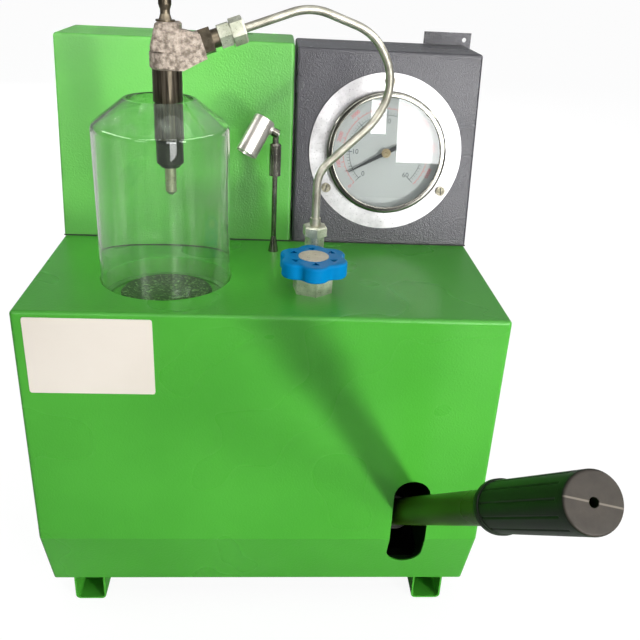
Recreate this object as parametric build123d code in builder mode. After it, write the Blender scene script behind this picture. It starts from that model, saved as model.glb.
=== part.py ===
from build123d import *
import math
import os

os.makedirs("parts", exist_ok=True)

# Driving sizes in millimetres: x to the right, y to the back, z up from the floor
cut_over = 1.0
fit_gap = 0.3
running_gap = 0.05

# Cabinet
cabinet_width = 350.0
cabinet_depth = 250.0
cabinet_top = 281.5
foot_height = 23.5
fold_height = 84.5
bevel_setback = 21.7
sheet = 1.5
corner_radius = 3.0
flange_width = 12.0
half_width = cabinet_width / 2
front_y = -cabinet_depth / 2
rear_y = cabinet_depth / 2
deck_under = cabinet_top - sheet
base_thickness = 2.0
base_top = foot_height + base_thickness

# Hoods behind the deck, both with the same leaning front
tray_depth = 157.0
hood_lean = 7.5
green_height = 162.6
grey_height = 160.0
hood_split = 19.8
hood_gap = 1.8
hood_foot_y = front_y + tray_depth
lean_sin = math.sin(math.radians(hood_lean))
lean_cos = math.cos(math.radians(hood_lean))
lean_tan = math.tan(math.radians(hood_lean))

# Spray place
jar_x = -77.5
jar_y = -51.7
deck_hole = 100.0
jar_diameter = 97.8
jar_neck = 47.8
jar_wall = 2.5
jar_shoulder = 114.5
jar_mouth = 132.9
cup_sink = 14.0
cup_floor = cabinet_top - cup_sink

# Valve and high-pressure line
valve_x = 34.2
valve_y = -75.0
outlet_x = 36.5
outlet_y = -37.5
pipe_diameter = 6.0
bonnet_height = 12.5
wheel_clearance = 2.2
wheel_bottom = cabinet_top + bonnet_height + wheel_clearance
wheel_thickness = 12.0
wheel_diameter = 52.6

# Injector under test
injector_x = -71.5
injector_y = -52.0
connector_rise = 19.0
connector_above_deck = 162.0
connector_height = cabinet_top + connector_above_deck

# Gauge
gauge_x = 98.2
gauge_along_panel = 79.3
gauge_flange = 130.0

# Lamp
lamp_x = 4.5
lamp_to_hood = 24.7
knuckle_above_deck = 99.0
lamp_y = hood_foot_y - lamp_to_hood
knuckle_height = cabinet_top + knuckle_above_deck

# Hand pump
pump_x = 108.2
pivot_y = -50.0
pivot_z = 50.5
lever_rise = 40.0
lever_crank = 6.26
rear_arm = 22.0
rear_arm_dip = 14.0
tube_diameter = 22.0


# Planes and shapes that many pieces share
def upright_plane(x, y):
    """A plane facing the front, through the vertical line at x and y."""
    return Plane(origin=(x, y, 0), x_dir=(1, 0, 0), z_dir=(0, -1, 0))


def turned(plane, points):
    """Turn an outline of radius and height pairs about the upright line of a plane."""
    with BuildPart() as piece:
        with BuildSketch(plane):
            with BuildLine():
                Polyline(*points, close=True)
            make_face()
        revolve(axis=Axis(plane.origin, plane.y_dir))
    return piece.part


def hexagon(across_flats, turn=0):
    """Draw a spanner hexagon of the given size across its flats."""
    RegularPolygon(radius=across_flats / 2, side_count=6, major_radius=False, rotation=turn)


def vertical(x, y):
    """The vertical line at x and y."""
    return Axis((x, y, 0), (0, 0, 1))


def end_face(all_faces, plane):
    """Pick the flat face whose middle lies nearest to the origin of a plane."""
    flat = all_faces.filter_by(GeomType.PLANE)
    return flat.sort_by(lambda face: (face.center() - plane.origin).length)[0]


jar_plane = upright_plane(jar_x, jar_y)
jar_line = vertical(jar_x, jar_y)
valve_plane = upright_plane(valve_x, valve_y)
outlet_plane = upright_plane(outlet_x, outlet_y)

# Rear covers: screws stand in the return flanges of the shell and the hoods
screw_head_diameter = 8.0
screw_head_height = 2.2
screw_shank = 4.0
screw_hole = 4.3
screw_length = 6.0
screw_inset = flange_width / 2
screw_shares = (0.12, 0.5, 0.88)
end_screw_shares = (screw_shares[0], screw_shares[-1])
cover_screw_spots = []
for side in (-1, 1):
    for share in screw_shares:
        height = foot_height + share * (cabinet_top - foot_height)
        cover_screw_spots.append((side * (half_width - screw_inset), height))
green_left = -half_width
green_right = hood_split - hood_gap / 2
grey_left = hood_split + hood_gap / 2
grey_right = half_width
for left, right, tall in (
    (green_left, green_right, green_height),
    (grey_left, grey_right, grey_height),
):
    for x in (left + screw_inset, right - screw_inset):
        for share in end_screw_shares:
            cover_screw_spots.append((x, cabinet_top + share * tall))


def cover_drills(low, high, left, right):
    """Make the drills for the screw holes that lie inside one part of the rear."""
    spots = [spot for spot in cover_screw_spots if left < spot[0] < right and low < spot[1] < high]
    with BuildPart() as drills:
        with BuildSketch(upright_plane(0, rear_y + sheet + cut_over)):
            with Locations(*spots):
                Circle(screw_hole / 2)
        extrude(amount=2 * sheet + 2 * cut_over)
    return drills.part


# Cabinet shell: front, bevel, deck and sides folded and welded from one sheet
slot_x = 118.0
slot_width = 29.0
slot_bottom = 51.5
slot_top = 141.8
bonnet_hole = 20.0
outlet_hole = 17.0
lamp_hole = 5.2
gauge_pipe_hole = 12.0
gauge_pipe_behind = 18.0
gauge_pipe_y = hood_foot_y + gauge_pipe_behind

with BuildPart() as cabinet_shell:
    with BuildSketch(Plane.YZ):
        with BuildLine():
            Polyline(
                (front_y + bevel_setback, foot_height),
                (front_y, fold_height),
                (front_y, cabinet_top),
                (rear_y, cabinet_top),
                (rear_y, foot_height),
                close=True,
            )
        make_face()
    extrude(amount=half_width, both=True)
    outer_edges = edges().filter_by(
        lambda edge: abs(edge.center().X) > half_width - cut_over
        and edge.center().Y < front_y + bevel_setback
        and edge.center().Z > foot_height + cut_over
    )
    deck_edges = faces().sort_by(Axis.Z)[-1].edges().sort_by(Axis.Y)[:-1]
    fillet(outer_edges + deck_edges, radius=corner_radius)
    with BuildSketch(Plane.YZ):
        with BuildLine():
            Polyline(
                (front_y + bevel_setback + sheet, foot_height - cut_over),
                (front_y + bevel_setback + sheet, foot_height),
                (front_y + sheet, fold_height),
                (front_y + sheet, deck_under),
                (rear_y - sheet, deck_under),
                (rear_y - sheet, foot_height - cut_over),
                close=True,
            )
        make_face()
    extrude(amount=half_width - sheet, both=True, mode=Mode.SUBTRACT)
    rear_opening = cabinet_top - flange_width - foot_height + cut_over
    with BuildSketch(upright_plane(0, rear_y + cut_over)):
        with Locations((0, foot_height - cut_over)):
            Rectangle(
                cabinet_width - 2 * flange_width, rear_opening, align=(Align.CENTER, Align.MIN)
            )
    extrude(amount=sheet + 2 * cut_over, mode=Mode.SUBTRACT)
    with BuildSketch(Plane.XY.offset(cabinet_top + cut_over)):
        with Locations((jar_x, jar_y)):
            Circle(deck_hole / 2)
        with Locations((valve_x, valve_y)):
            Circle(bonnet_hole / 2)
        with Locations((outlet_x, outlet_y)):
            Circle(outlet_hole / 2)
        with Locations((lamp_x, lamp_y)):
            Circle(lamp_hole / 2)
        with Locations((gauge_x, gauge_pipe_y)):
            Circle(gauge_pipe_hole / 2)
    extrude(amount=-(sheet + 2 * cut_over), mode=Mode.SUBTRACT)
    with BuildSketch(upright_plane(0, front_y - cut_over)):
        with Locations((slot_x, (slot_top + slot_bottom) / 2)):
            SlotOverall(slot_top - slot_bottom, slot_width, rotation=90)
    extrude(amount=-(bevel_setback + 2 * sheet), mode=Mode.SUBTRACT)
    add(cover_drills(foot_height, cabinet_top, -half_width, half_width), mode=Mode.SUBTRACT)
cabinet_shell.part.label = "cabinet_shell"
export_step(cabinet_shell.part, "parts/cabinet_shell.step")

# Base plate: closes the bottom and carries the pump, the tank and the feet
base_front = front_y + bevel_setback + sheet
with BuildPart() as base_plate:
    with BuildSketch(Plane.XY.offset(foot_height)):
        with Locations((0, base_front)):
            Rectangle(
                cabinet_width - 2 * sheet,
                rear_y - sheet - base_front,
                align=(Align.CENTER, Align.MIN),
            )
    extrude(amount=base_thickness)
    with BuildSketch(Plane.XY.offset(foot_height)):
        with Locations((0, rear_y)):
            Rectangle(cabinet_width - 2 * flange_width, sheet, align=(Align.CENTER, Align.MAX))
    extrude(amount=flange_width)
base_plate.part.label = "base_plate"
export_step(base_plate.part, "parts/base_plate.step")

# Foot rails: two channels bent from sheet, open at the front and the back
rail_x = 145.2
rail_width = 25.5
rail_front_y = front_y + bevel_setback
rail_inset = 5.0
rail_rear_y = rear_y - rail_inset
rail_radius = 4.0
with BuildPart() as foot_rails:
    with BuildSketch(upright_plane(0, rail_front_y)):
        for x in (-rail_x, rail_x):
            with Locations((x, 0)):
                Rectangle(rail_width, foot_height, align=(Align.CENTER, Align.MIN))
        fillet(vertices().group_by(Axis.Y)[0], radius=rail_radius)
    extrude(amount=-(rail_rear_y - rail_front_y))
    with BuildSketch(upright_plane(0, rail_front_y - cut_over)):
        for x in (-rail_x, rail_x):
            with Locations((x, sheet)):
                Rectangle(rail_width - 2 * sheet, foot_height, align=(Align.CENTER, Align.MIN))
        fillet(vertices().group_by(Axis.Y)[0], radius=rail_radius - sheet)
    extrude(amount=-(rail_rear_y - rail_front_y + 2 * cut_over), mode=Mode.SUBTRACT)
foot_rails.part.label = "foot_rails"
export_step(foot_rails.part, "parts/foot_rails.step")

# Rear panel: a screwed sheet with the grille behind the fan and the power inlet
duct_wall = 1.2
duct_inside = 64.0
duct_below_deck = 84.0
duct_bottom = cabinet_top - duct_below_deck
fan_z = duct_bottom + duct_wall + duct_inside / 2
grille_width = 48.0
grille_slot = 3.6
grille_pitch = 7.2
grille_count = 7
inlet_x = 120.0
inlet_above_foot = 42.0
inlet_z = foot_height + inlet_above_foot
inlet_bore = 11.0
panel_margin = 1.0
with BuildPart() as rear_panel:
    with BuildSketch(upright_plane(0, rear_y + sheet)):
        with Locations((0, foot_height + panel_margin)):
            Rectangle(
                cabinet_width - 2 * panel_margin,
                cabinet_top - foot_height - 2 * panel_margin,
                align=(Align.CENTER, Align.MIN),
            )
    extrude(amount=sheet)
    with BuildSketch(upright_plane(0, rear_y + sheet + cut_over)):
        with Locations((jar_x, fan_z)):
            with GridLocations(0, grille_pitch, 1, grille_count):
                SlotOverall(grille_width, grille_slot)
        with Locations((inlet_x, inlet_z)):
            Circle(inlet_bore / 2)
    extrude(amount=sheet + 2 * cut_over, mode=Mode.SUBTRACT)
    add(cover_drills(foot_height, cabinet_top, -half_width, half_width), mode=Mode.SUBTRACT)
rear_panel.part.label = "rear_panel"
export_step(rear_panel.part, "parts/rear_panel.step")

# Power inlet: a round socket for a low-voltage plug, screwed into the rear panel
inlet_flange = 16.0
inlet_flange_thickness = 2.0
inlet_depth = 14.0
inlet_socket = 6.4
inlet_pin = 2.0
with BuildPart() as power_inlet:
    with BuildSketch(upright_plane(inlet_x, rear_y + sheet + inlet_flange_thickness)):
        with Locations((0, inlet_z)):
            Circle(inlet_flange / 2)
    extrude(amount=inlet_flange_thickness)
    with BuildSketch(upright_plane(inlet_x, rear_y + sheet)):
        with Locations((0, inlet_z)):
            Circle(inlet_bore / 2)
    extrude(amount=inlet_depth)
    with BuildSketch(upright_plane(inlet_x, rear_y + sheet + inlet_flange_thickness + cut_over)):
        with Locations((0, inlet_z)):
            Circle(inlet_socket / 2)
            Circle(inlet_pin / 2, mode=Mode.SUBTRACT)
    extrude(amount=inlet_depth, mode=Mode.SUBTRACT)
power_inlet.part.label = "power_inlet"
export_step(power_inlet.part, "parts/power_inlet.step")


# Hoods: welded boxes with a leaning front, open below and behind
hood_radius = 2.4


def hood(left, right, tall):
    """Build one hood between two x positions, with a return flange behind."""
    with BuildPart() as box:
        with BuildSketch(Plane.YZ.offset(left)):
            with BuildLine():
                Polyline(
                    (hood_foot_y, cabinet_top),
                    (hood_foot_y + tall * lean_tan, cabinet_top + tall),
                    (rear_y, cabinet_top + tall),
                    (rear_y, cabinet_top),
                    close=True,
                )
            make_face()
        extrude(amount=right - left)
        front_edges = faces().sort_by(Axis.Y)[0].edges().sort_by(Axis.Z)[1:]
        top_edges = faces().sort_by(Axis.Z)[-1].edges().filter_by(Axis.Y)
        fillet(front_edges + top_edges, radius=hood_radius)
        wall = sheet / lean_cos
        with BuildSketch(Plane.YZ.offset(left + sheet)):
            with BuildLine():
                Polyline(
                    (hood_foot_y + wall - cut_over * lean_tan, cabinet_top - cut_over),
                    (hood_foot_y + wall + (tall - sheet) * lean_tan, cabinet_top + tall - sheet),
                    (rear_y - sheet, cabinet_top + tall - sheet),
                    (rear_y - sheet, cabinet_top - cut_over),
                    close=True,
                )
            make_face()
        extrude(amount=right - left - 2 * sheet, mode=Mode.SUBTRACT)
        with BuildSketch(upright_plane((left + right) / 2, rear_y + cut_over)):
            with Locations((0, cabinet_top - cut_over)):
                Rectangle(
                    right - left - 2 * flange_width,
                    tall - flange_width + cut_over,
                    align=(Align.CENTER, Align.MIN),
                )
        extrude(amount=sheet + 2 * cut_over, mode=Mode.SUBTRACT)
        add(cover_drills(cabinet_top, cabinet_top + tall, left, right), mode=Mode.SUBTRACT)
    return box.part


with BuildPart() as green_hood:
    add(hood(green_left, green_right, green_height))
green_hood.part.label = "green_hood"
export_step(green_hood.part, "parts/green_hood.step")

# Gauge plane: on the leaning front of the grey hood, facing out
gauge_centre = (
    gauge_x,
    hood_foot_y + gauge_along_panel * lean_sin,
    cabinet_top + gauge_along_panel * lean_cos,
)
gauge_plane = Plane(origin=gauge_centre, x_dir=(1, 0, 0), z_dir=(0, -lean_cos, lean_sin))
gauge_axis = Axis(gauge_centre, gauge_plane.z_dir)
gauge_opening = 99.0
flange_screw_ring = 117.0
flange_screw_angles = (90.0, 212.0, 328.0)
gauge_screw_spots = [
    (
        flange_screw_ring / 2 * math.cos(math.radians(angle)),
        flange_screw_ring / 2 * math.sin(math.radians(angle)),
    )
    for angle in flange_screw_angles
]
with BuildPart() as grey_hood:
    add(hood(grey_left, grey_right, grey_height))
    with BuildSketch(gauge_plane.offset(cut_over)):
        Circle(gauge_opening / 2)
        with Locations(*gauge_screw_spots):
            Circle(screw_hole / 2)
    extrude(amount=-(sheet + 2 * cut_over), mode=Mode.SUBTRACT)
grey_hood.part.label = "grey_hood"
export_step(grey_hood.part, "parts/grey_hood.step")

# Hood covers: the grey one stands proud at the top right with a drilled tab
with BuildPart() as green_hood_cover:
    with BuildSketch(upright_plane((green_left + green_right) / 2, rear_y + sheet)):
        with Locations((0, cabinet_top + panel_margin)):
            Rectangle(
                green_right - green_left - 2 * panel_margin,
                green_height - 2 * panel_margin,
                align=(Align.CENTER, Align.MIN),
            )
    extrude(amount=sheet)
    add(cover_drills(cabinet_top, cabinet_top + green_height, green_left, green_right), mode=Mode.SUBTRACT)
green_hood_cover.part.label = "green_hood_cover"
export_step(green_hood_cover.part, "parts/green_hood_cover.step")

tab_width = 43.0
tab_rise = 10.5
tab_overhang = 5.0
tab_hole = 4.0
tab_hole_inset = 6.0
with BuildPart() as grey_hood_cover:
    with BuildSketch(upright_plane(0, rear_y + sheet)):
        with Locations((grey_left + panel_margin, cabinet_top + panel_margin)):
            Rectangle(
                grey_right - grey_left - 2 * panel_margin,
                grey_height - 2 * panel_margin,
                align=(Align.MIN, Align.MIN),
            )
        with Locations((grey_right + tab_overhang, cabinet_top + grey_height + tab_rise)):
            Rectangle(tab_width, tab_rise + flange_width, align=(Align.MAX, Align.MAX))
        hole_x = grey_right + tab_overhang - tab_hole_inset
        hole_z = cabinet_top + grey_height + tab_rise - tab_hole_inset
        with Locations((hole_x, hole_z)):
            Circle(tab_hole / 2, mode=Mode.SUBTRACT)
    extrude(amount=sheet)
    add(cover_drills(cabinet_top, cabinet_top + grey_height, grey_left, grey_right), mode=Mode.SUBTRACT)
grey_hood_cover.part.label = "grey_hood_cover"
export_step(grey_hood_cover.part, "parts/grey_hood_cover.step")

# Spray cup: a pressed cup hung under the deck, with a ledge for the jar
cup_wall = 1.5
cup_flange = 116.0
cup_opening = 58.0
cup_spigot = 62.0
spigot_length = 10.0
spigot_bottom = cup_floor - spigot_length
with BuildPart() as spray_cup:
    add(turned(jar_plane, [
        (deck_hole / 2, deck_under),
        (cup_flange / 2, deck_under),
        (cup_flange / 2, deck_under - cup_wall),
        (deck_hole / 2 + cup_wall, deck_under - cup_wall),
        (deck_hole / 2 + cup_wall, cup_floor - cup_wall),
        (cup_spigot / 2, cup_floor - cup_wall),
        (cup_spigot / 2, spigot_bottom),
        (cup_opening / 2, spigot_bottom),
        (cup_opening / 2, cup_floor),
        (deck_hole / 2, cup_floor),
    ]))
spray_cup.part.label = "spray_cup"
export_step(spray_cup.part, "parts/spray_cup.step")

# Gasket ring under the jar
gasket_thickness = 1.5
gasket_outer = 99.0
gasket_inner = 84.0
with BuildPart() as cup_gasket:
    with BuildSketch(Plane.XY.offset(cup_floor)):
        with Locations((jar_x, jar_y)):
            Circle(gasket_outer / 2)
            Circle(gasket_inner / 2, mode=Mode.SUBTRACT)
    extrude(amount=gasket_thickness)
cup_gasket.part.label = "cup_gasket"
export_step(cup_gasket.part, "parts/cup_gasket.step")

# Open-cell disc that breaks the spray above the suction opening
disc_diameter = 68.0
disc_thickness = 5.0
with BuildPart() as mesh_disc:
    with BuildSketch(Plane.XY.offset(cup_floor)):
        with Locations((jar_x, jar_y)):
            Circle(disc_diameter / 2)
    extrude(amount=disc_thickness)
    chamfer(faces().sort_by(Axis.Z)[-1].edges(), length=cut_over)
mesh_disc.part.label = "mesh_disc"
export_step(mesh_disc.part, "parts/mesh_disc.step")

# Spray jar: clear cylinder with a conical shoulder and an open mouth
jar_bottom = cup_floor + gasket_thickness
shoulder_z = cabinet_top + jar_shoulder
mouth_z = cabinet_top + jar_mouth
shoulder_round = 5.0
with BuildPart() as spray_jar:
    with BuildSketch(jar_plane):
        with BuildLine():
            Polyline(
                (jar_diameter / 2 - jar_wall, jar_bottom),
                (jar_diameter / 2, jar_bottom),
                (jar_diameter / 2, shoulder_z),
                (jar_neck / 2, mouth_z),
                (jar_neck / 2 - jar_wall, mouth_z),
                (jar_diameter / 2 - jar_wall, shoulder_z - jar_wall / 2),
                close=True,
            )
        make_face()
        fillet(vertices().sort_by(Axis.Y)[2:4], radius=shoulder_round)
    revolve(axis=jar_line)
spray_jar.part.label = "spray_jar"
export_step(spray_jar.part, "parts/spray_jar.step")

# Mist duct: a sheet channel from under the cup back to the rear grille
duct_ahead = 38.0
duct_front_y = jar_y - duct_ahead
duct_rear_y = rear_y
drain_diameter = 16.0
tank_height = 130.0
tank_top = base_top + tank_height
drain_overlap = 4.0
drain_bottom = tank_top - drain_overlap
duct_outside = duct_inside + 2 * duct_wall
with BuildPart() as mist_duct:
    with BuildSketch(Plane.XY.offset(duct_bottom)):
        with Locations((jar_x, duct_front_y)):
            Rectangle(
                duct_outside, duct_rear_y - duct_front_y, align=(Align.CENTER, Align.MIN)
            )
    extrude(amount=duct_outside)
    with BuildSketch(Plane.XY.offset(duct_bottom)):
        with Locations((jar_x, jar_y)):
            Circle(drain_diameter / 2)
    extrude(amount=-(duct_bottom - drain_bottom))
    with BuildSketch(Plane.XY.offset(duct_bottom + duct_wall)):
        with Locations((jar_x, duct_front_y + duct_wall)):
            Rectangle(
                duct_inside, duct_rear_y - duct_front_y + cut_over, align=(Align.CENTER, Align.MIN)
            )
    extrude(amount=duct_inside, mode=Mode.SUBTRACT)
    with BuildSketch(Plane.XY.offset(drain_bottom - cut_over)):
        with Locations((jar_x, jar_y)):
            Circle(drain_diameter / 2 - duct_wall)
    extrude(amount=duct_bottom - drain_bottom + 2 * cut_over + duct_wall, mode=Mode.SUBTRACT)
    with BuildSketch(Plane.XY.offset(duct_bottom + duct_outside + cut_over)):
        with Locations((jar_x, jar_y)):
            Circle(cup_spigot / 2)
    extrude(amount=-(2 * cut_over + duct_wall), mode=Mode.SUBTRACT)
mist_duct.part.label = "mist_duct"
export_step(mist_duct.part, "parts/mist_duct.step")

# Fan frame: fills the duct in front of the grille and holds the motor on arms
fan_clearance = 4.0
fan_rear_y = rear_y - fan_clearance
fan_depth = 18.0
fan_bore = 60.0
motor_diameter = 24.0
motor_length = 6.0
arm_width = 4.0
arm_count = 3
rotor_journal = 4.0
fan_plane = upright_plane(jar_x, fan_rear_y)
with BuildPart() as fan_frame:
    with BuildSketch(fan_plane):
        with Locations((0, fan_z)):
            Rectangle(duct_inside, duct_inside)
            Circle(fan_bore / 2, mode=Mode.SUBTRACT)
    extrude(amount=fan_depth)
    with BuildSketch(fan_plane):
        with Locations((0, fan_z)):
            Circle(motor_diameter / 2)
            with PolarLocations(0, arm_count):
                Rectangle(duct_inside / 2, arm_width, align=(Align.MIN, Align.CENTER))
    extrude(amount=arm_width)
    with BuildSketch(fan_plane.offset(arm_width)):
        with Locations((0, fan_z)):
            Circle(rotor_journal / 2)
    extrude(amount=motor_length)
fan_frame.part.label = "fan_frame"
export_step(fan_frame.part, "parts/fan_frame.step")

# Fan rotor: a hub cap over the motor journal with seven raked blades
blade_count = 7
blade_thickness = 1.2
blade_tip = 28.5
blade_chord = 11.0
blade_rake = 35.0
hub_length = 12.0
rotor_plane = fan_plane.offset(arm_width + fit_gap)
with BuildPart() as fan_rotor:
    with BuildSketch(rotor_plane):
        with Locations((0, fan_z)):
            Circle(motor_diameter / 2)
    extrude(amount=hub_length)
    blade_origin = rotor_plane.from_local_coords((0, fan_z, hub_length / 2))
    for count in range(blade_count):
        spoke = math.radians(360 * count / blade_count)
        out = Vector(math.cos(spoke), 0, math.sin(spoke))
        with BuildSketch(Plane(origin=blade_origin, x_dir=(0, 1, 0), z_dir=out)):
            Rectangle(blade_chord, blade_thickness, rotation=blade_rake)
        extrude(amount=blade_tip)
    with BuildSketch(rotor_plane.offset(-cut_over)):
        with Locations((0, fan_z)):
            Circle(rotor_journal / 2 + running_gap)
    extrude(amount=motor_length + 2 * cut_over, mode=Mode.SUBTRACT)
fan_rotor.part.label = "fan_rotor"
export_step(fan_rotor.part, "parts/fan_rotor.step")

# Oil tank: a closed sheet box on the base plate, under the duct
tank_left = -165.0
tank_right = 10.0
tank_front_gap = 35.0
tank_rear_gap = 25.0
tank_front_y = front_y + tank_front_gap
tank_rear_y = rear_y - tank_rear_gap
tank_radius = 6.0
strainer_y = 30.0
strainer_above_base = 18.0
strainer_z = base_top + strainer_above_base
strainer_neck = 10.0
with BuildPart() as oil_tank:
    with BuildSketch(Plane.XY.offset(base_top)):
        with Locations((tank_left, tank_front_y)):
            Rectangle(
                tank_right - tank_left, tank_rear_y - tank_front_y, align=(Align.MIN, Align.MIN)
            )
        fillet(vertices(), radius=tank_radius)
    extrude(amount=tank_top - base_top)
    with BuildSketch(Plane.XY.offset(base_top + sheet)):
        with Locations((tank_left + sheet, tank_front_y + sheet)):
            Rectangle(
                tank_right - tank_left - 2 * sheet,
                tank_rear_y - tank_front_y - 2 * sheet,
                align=(Align.MIN, Align.MIN),
            )
        fillet(vertices(), radius=tank_radius - sheet)
    extrude(amount=tank_top - base_top - 2 * sheet, mode=Mode.SUBTRACT)
    with BuildSketch(Plane.XY.offset(tank_top + cut_over)):
        with Locations((jar_x, jar_y)):
            Circle(drain_diameter / 2)
    extrude(amount=-(sheet + 2 * cut_over), mode=Mode.SUBTRACT)
    with BuildSketch(Plane.YZ.offset(tank_right + cut_over)):
        with Locations((strainer_y, strainer_z)):
            Circle(strainer_neck / 2)
    extrude(amount=-(sheet + 2 * cut_over), mode=Mode.SUBTRACT)
oil_tank.part.label = "oil_tank"
export_step(oil_tank.part, "parts/oil_tank.step")

# Suction strainer: a gauze cup inside the tank, its neck through the wall
strainer_diameter = 18.0
strainer_length = 24.0
strainer_hex = 17.0
strainer_hex_length = 8.0
suction_diameter = 8.0
suction_wall = 1.0
strainer_plane = Plane(
    origin=(tank_right - sheet, strainer_y, strainer_z), x_dir=(0, 1, 0), z_dir=(1, 0, 0)
)
with BuildPart() as suction_strainer:
    with BuildSketch(strainer_plane):
        Circle(strainer_diameter / 2)
    extrude(amount=-strainer_length)
    with BuildSketch(strainer_plane):
        Circle(strainer_neck / 2)
    extrude(amount=sheet)
    with BuildSketch(strainer_plane.offset(sheet)):
        hexagon(strainer_hex)
    extrude(amount=strainer_hex_length)
    with BuildSketch(strainer_plane.offset(sheet + strainer_hex_length + cut_over)):
        Circle(suction_diameter / 2 - suction_wall)
    extrude(amount=-(strainer_length + strainer_hex_length), mode=Mode.SUBTRACT)
suction_strainer.part.label = "suction_strainer"
export_step(suction_strainer.part, "parts/suction_strainer.step")

# Pump bracket: a casting with two cheeks for the lever shaft and a bridge
bracket_width = 60.0
bracket_front_y = -78.0
bracket_rear_y = 20.0
bracket_foot = 8.0
cheek_inner = 19.0
cheek_thickness = 7.0
cheek_front_y = -66.0
cheek_rear_y = -6.0
cheek_round = 10.0
bridge_above_pivot = 17.0
bridge_thickness = 12.0
bridge_bottom = pivot_z + bridge_above_pivot
bridge_top = bridge_bottom + bridge_thickness
bridge_front_y = -45.0
shaft_diameter = 14.0
tappet_diameter = 20.0
roller_diameter = 14.0
bracket_plane = Plane.YZ.offset(pump_x)
rest_dip = math.radians(rear_arm_dip)
roller_y = pivot_y + rear_arm * math.cos(rest_dip)
roller_z = pivot_z - rear_arm * math.sin(rest_dip)
plunger_y = roller_y + fit_gap
plunger_plane = upright_plane(pump_x, plunger_y)
with BuildPart() as pump_bracket:
    with BuildSketch(Plane.XY.offset(base_top)):
        with Locations((pump_x, bracket_front_y)):
            Rectangle(
                bracket_width, bracket_rear_y - bracket_front_y, align=(Align.CENTER, Align.MIN)
            )
        fillet(vertices(), radius=tank_radius)
    extrude(amount=bracket_foot)
    for side in (-1, 1):
        with BuildSketch(bracket_plane.offset(side * (cheek_inner + cheek_thickness / 2))):
            with BuildLine():
                FilletPolyline(
                    (cheek_front_y, base_top),
                    (cheek_front_y, bridge_bottom),
                    (bridge_front_y, bridge_top),
                    (cheek_rear_y, bridge_top),
                    (cheek_rear_y, base_top),
                    radius=cheek_round,
                )
                Line((cheek_rear_y, base_top), (cheek_front_y, base_top))
            make_face()
        extrude(amount=cheek_thickness / 2, both=True)
    with BuildSketch(bracket_plane):
        with Locations((bridge_front_y, bridge_bottom)):
            Rectangle(
                cheek_rear_y - bridge_front_y - cheek_round,
                bridge_top - bridge_bottom,
                align=(Align.MIN, Align.MIN),
            )
    extrude(amount=cheek_inner + cheek_thickness / 2, both=True)
    with BuildSketch(bracket_plane):
        with Locations((pivot_y, pivot_z)):
            Circle(shaft_diameter / 2)
    extrude(amount=bracket_width, both=True, mode=Mode.SUBTRACT)
    with BuildSketch(Plane.XY.offset(bridge_top + cut_over)):
        with Locations((pump_x, plunger_y)):
            Circle(tappet_diameter / 2 + running_gap)
    extrude(amount=-(bridge_top - bridge_bottom + 2 * cut_over), mode=Mode.SUBTRACT)
pump_bracket.part.label = "pump_bracket"
export_step(pump_bracket.part, "parts/pump_bracket.step")

# Pump barrel: flanged body with the spring chamber below and the plunger bore above
barrel_flange = 40.0
barrel_flange_thickness = 8.0
barrel_diameter = 28.0
barrel_height = 68.0
barrel_top = bridge_top + barrel_height
spring_chamber = 22.0
chamber_height = 38.0
chamber_top = bridge_top + chamber_height
plunger_diameter = 8.0
port_above_chamber = 12.0
port_z = chamber_top + port_above_chamber
port_diameter = 14.0
port_reach = 24.0
barrel_chamfer = 1.5
with BuildPart() as pump_barrel:
    add(turned(plunger_plane, [
        (plunger_diameter / 2 + running_gap, chamber_top),
        (spring_chamber / 2, chamber_top),
        (spring_chamber / 2, bridge_top),
        (barrel_flange / 2, bridge_top),
        (barrel_flange / 2, bridge_top + barrel_flange_thickness),
        (barrel_diameter / 2, bridge_top + barrel_flange_thickness),
        (barrel_diameter / 2, barrel_top - barrel_chamfer),
        (barrel_diameter / 2 - barrel_chamfer, barrel_top),
        (plunger_diameter / 2 + running_gap, barrel_top),
    ]))
    port_plane = Plane(origin=(pump_x, plunger_y, port_z), x_dir=(0, 1, 0), z_dir=(-1, 0, 0))
    with BuildSketch(port_plane.offset(plunger_diameter)):
        Circle(port_diameter / 2)
    extrude(amount=port_reach - plunger_diameter)
    with BuildSketch(port_plane.offset(plunger_diameter / 2)):
        Circle(suction_diameter / 2 - suction_wall)
    extrude(amount=port_reach, mode=Mode.SUBTRACT)
pump_barrel.part.label = "pump_barrel"
export_step(pump_barrel.part, "parts/pump_barrel.step")

# Tappet: the cup that the roller lifts, guided in the bridge
tappet_bottom = roller_z + roller_diameter / 2 + fit_gap
tappet_height = 16.0
tappet_floor = 5.0
spring_seat = 17.0
with BuildPart() as tappet:
    with BuildSketch(Plane.XY.offset(tappet_bottom)):
        with Locations((pump_x, plunger_y)):
            Circle(tappet_diameter / 2)
    extrude(amount=tappet_height)
    with BuildSketch(Plane.XY.offset(tappet_bottom + tappet_height)):
        with Locations((pump_x, plunger_y)):
            Circle(spring_seat / 2 + fit_gap)
    extrude(amount=-(tappet_height - tappet_floor), mode=Mode.SUBTRACT)
tappet.part.label = "tappet"
export_step(tappet.part, "parts/tappet.step")

# Plunger: lapped pin standing on the tappet, its top in the barrel bore
plunger_in_bore = 14.0
plunger_top = chamber_top + plunger_in_bore
plunger_head = 12.0
plunger_head_thickness = 3.0
plunger_foot = tappet_bottom + tappet_floor
with BuildPart() as plunger:
    add(turned(plunger_plane, [
        (0, plunger_foot),
        (plunger_head / 2, plunger_foot),
        (plunger_head / 2, plunger_foot + plunger_head_thickness),
        (plunger_diameter / 2, plunger_foot + plunger_head_thickness),
        (plunger_diameter / 2, plunger_top),
        (0, plunger_top),
    ]))
plunger.part.label = "plunger"
export_step(plunger.part, "parts/plunger.step")

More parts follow.
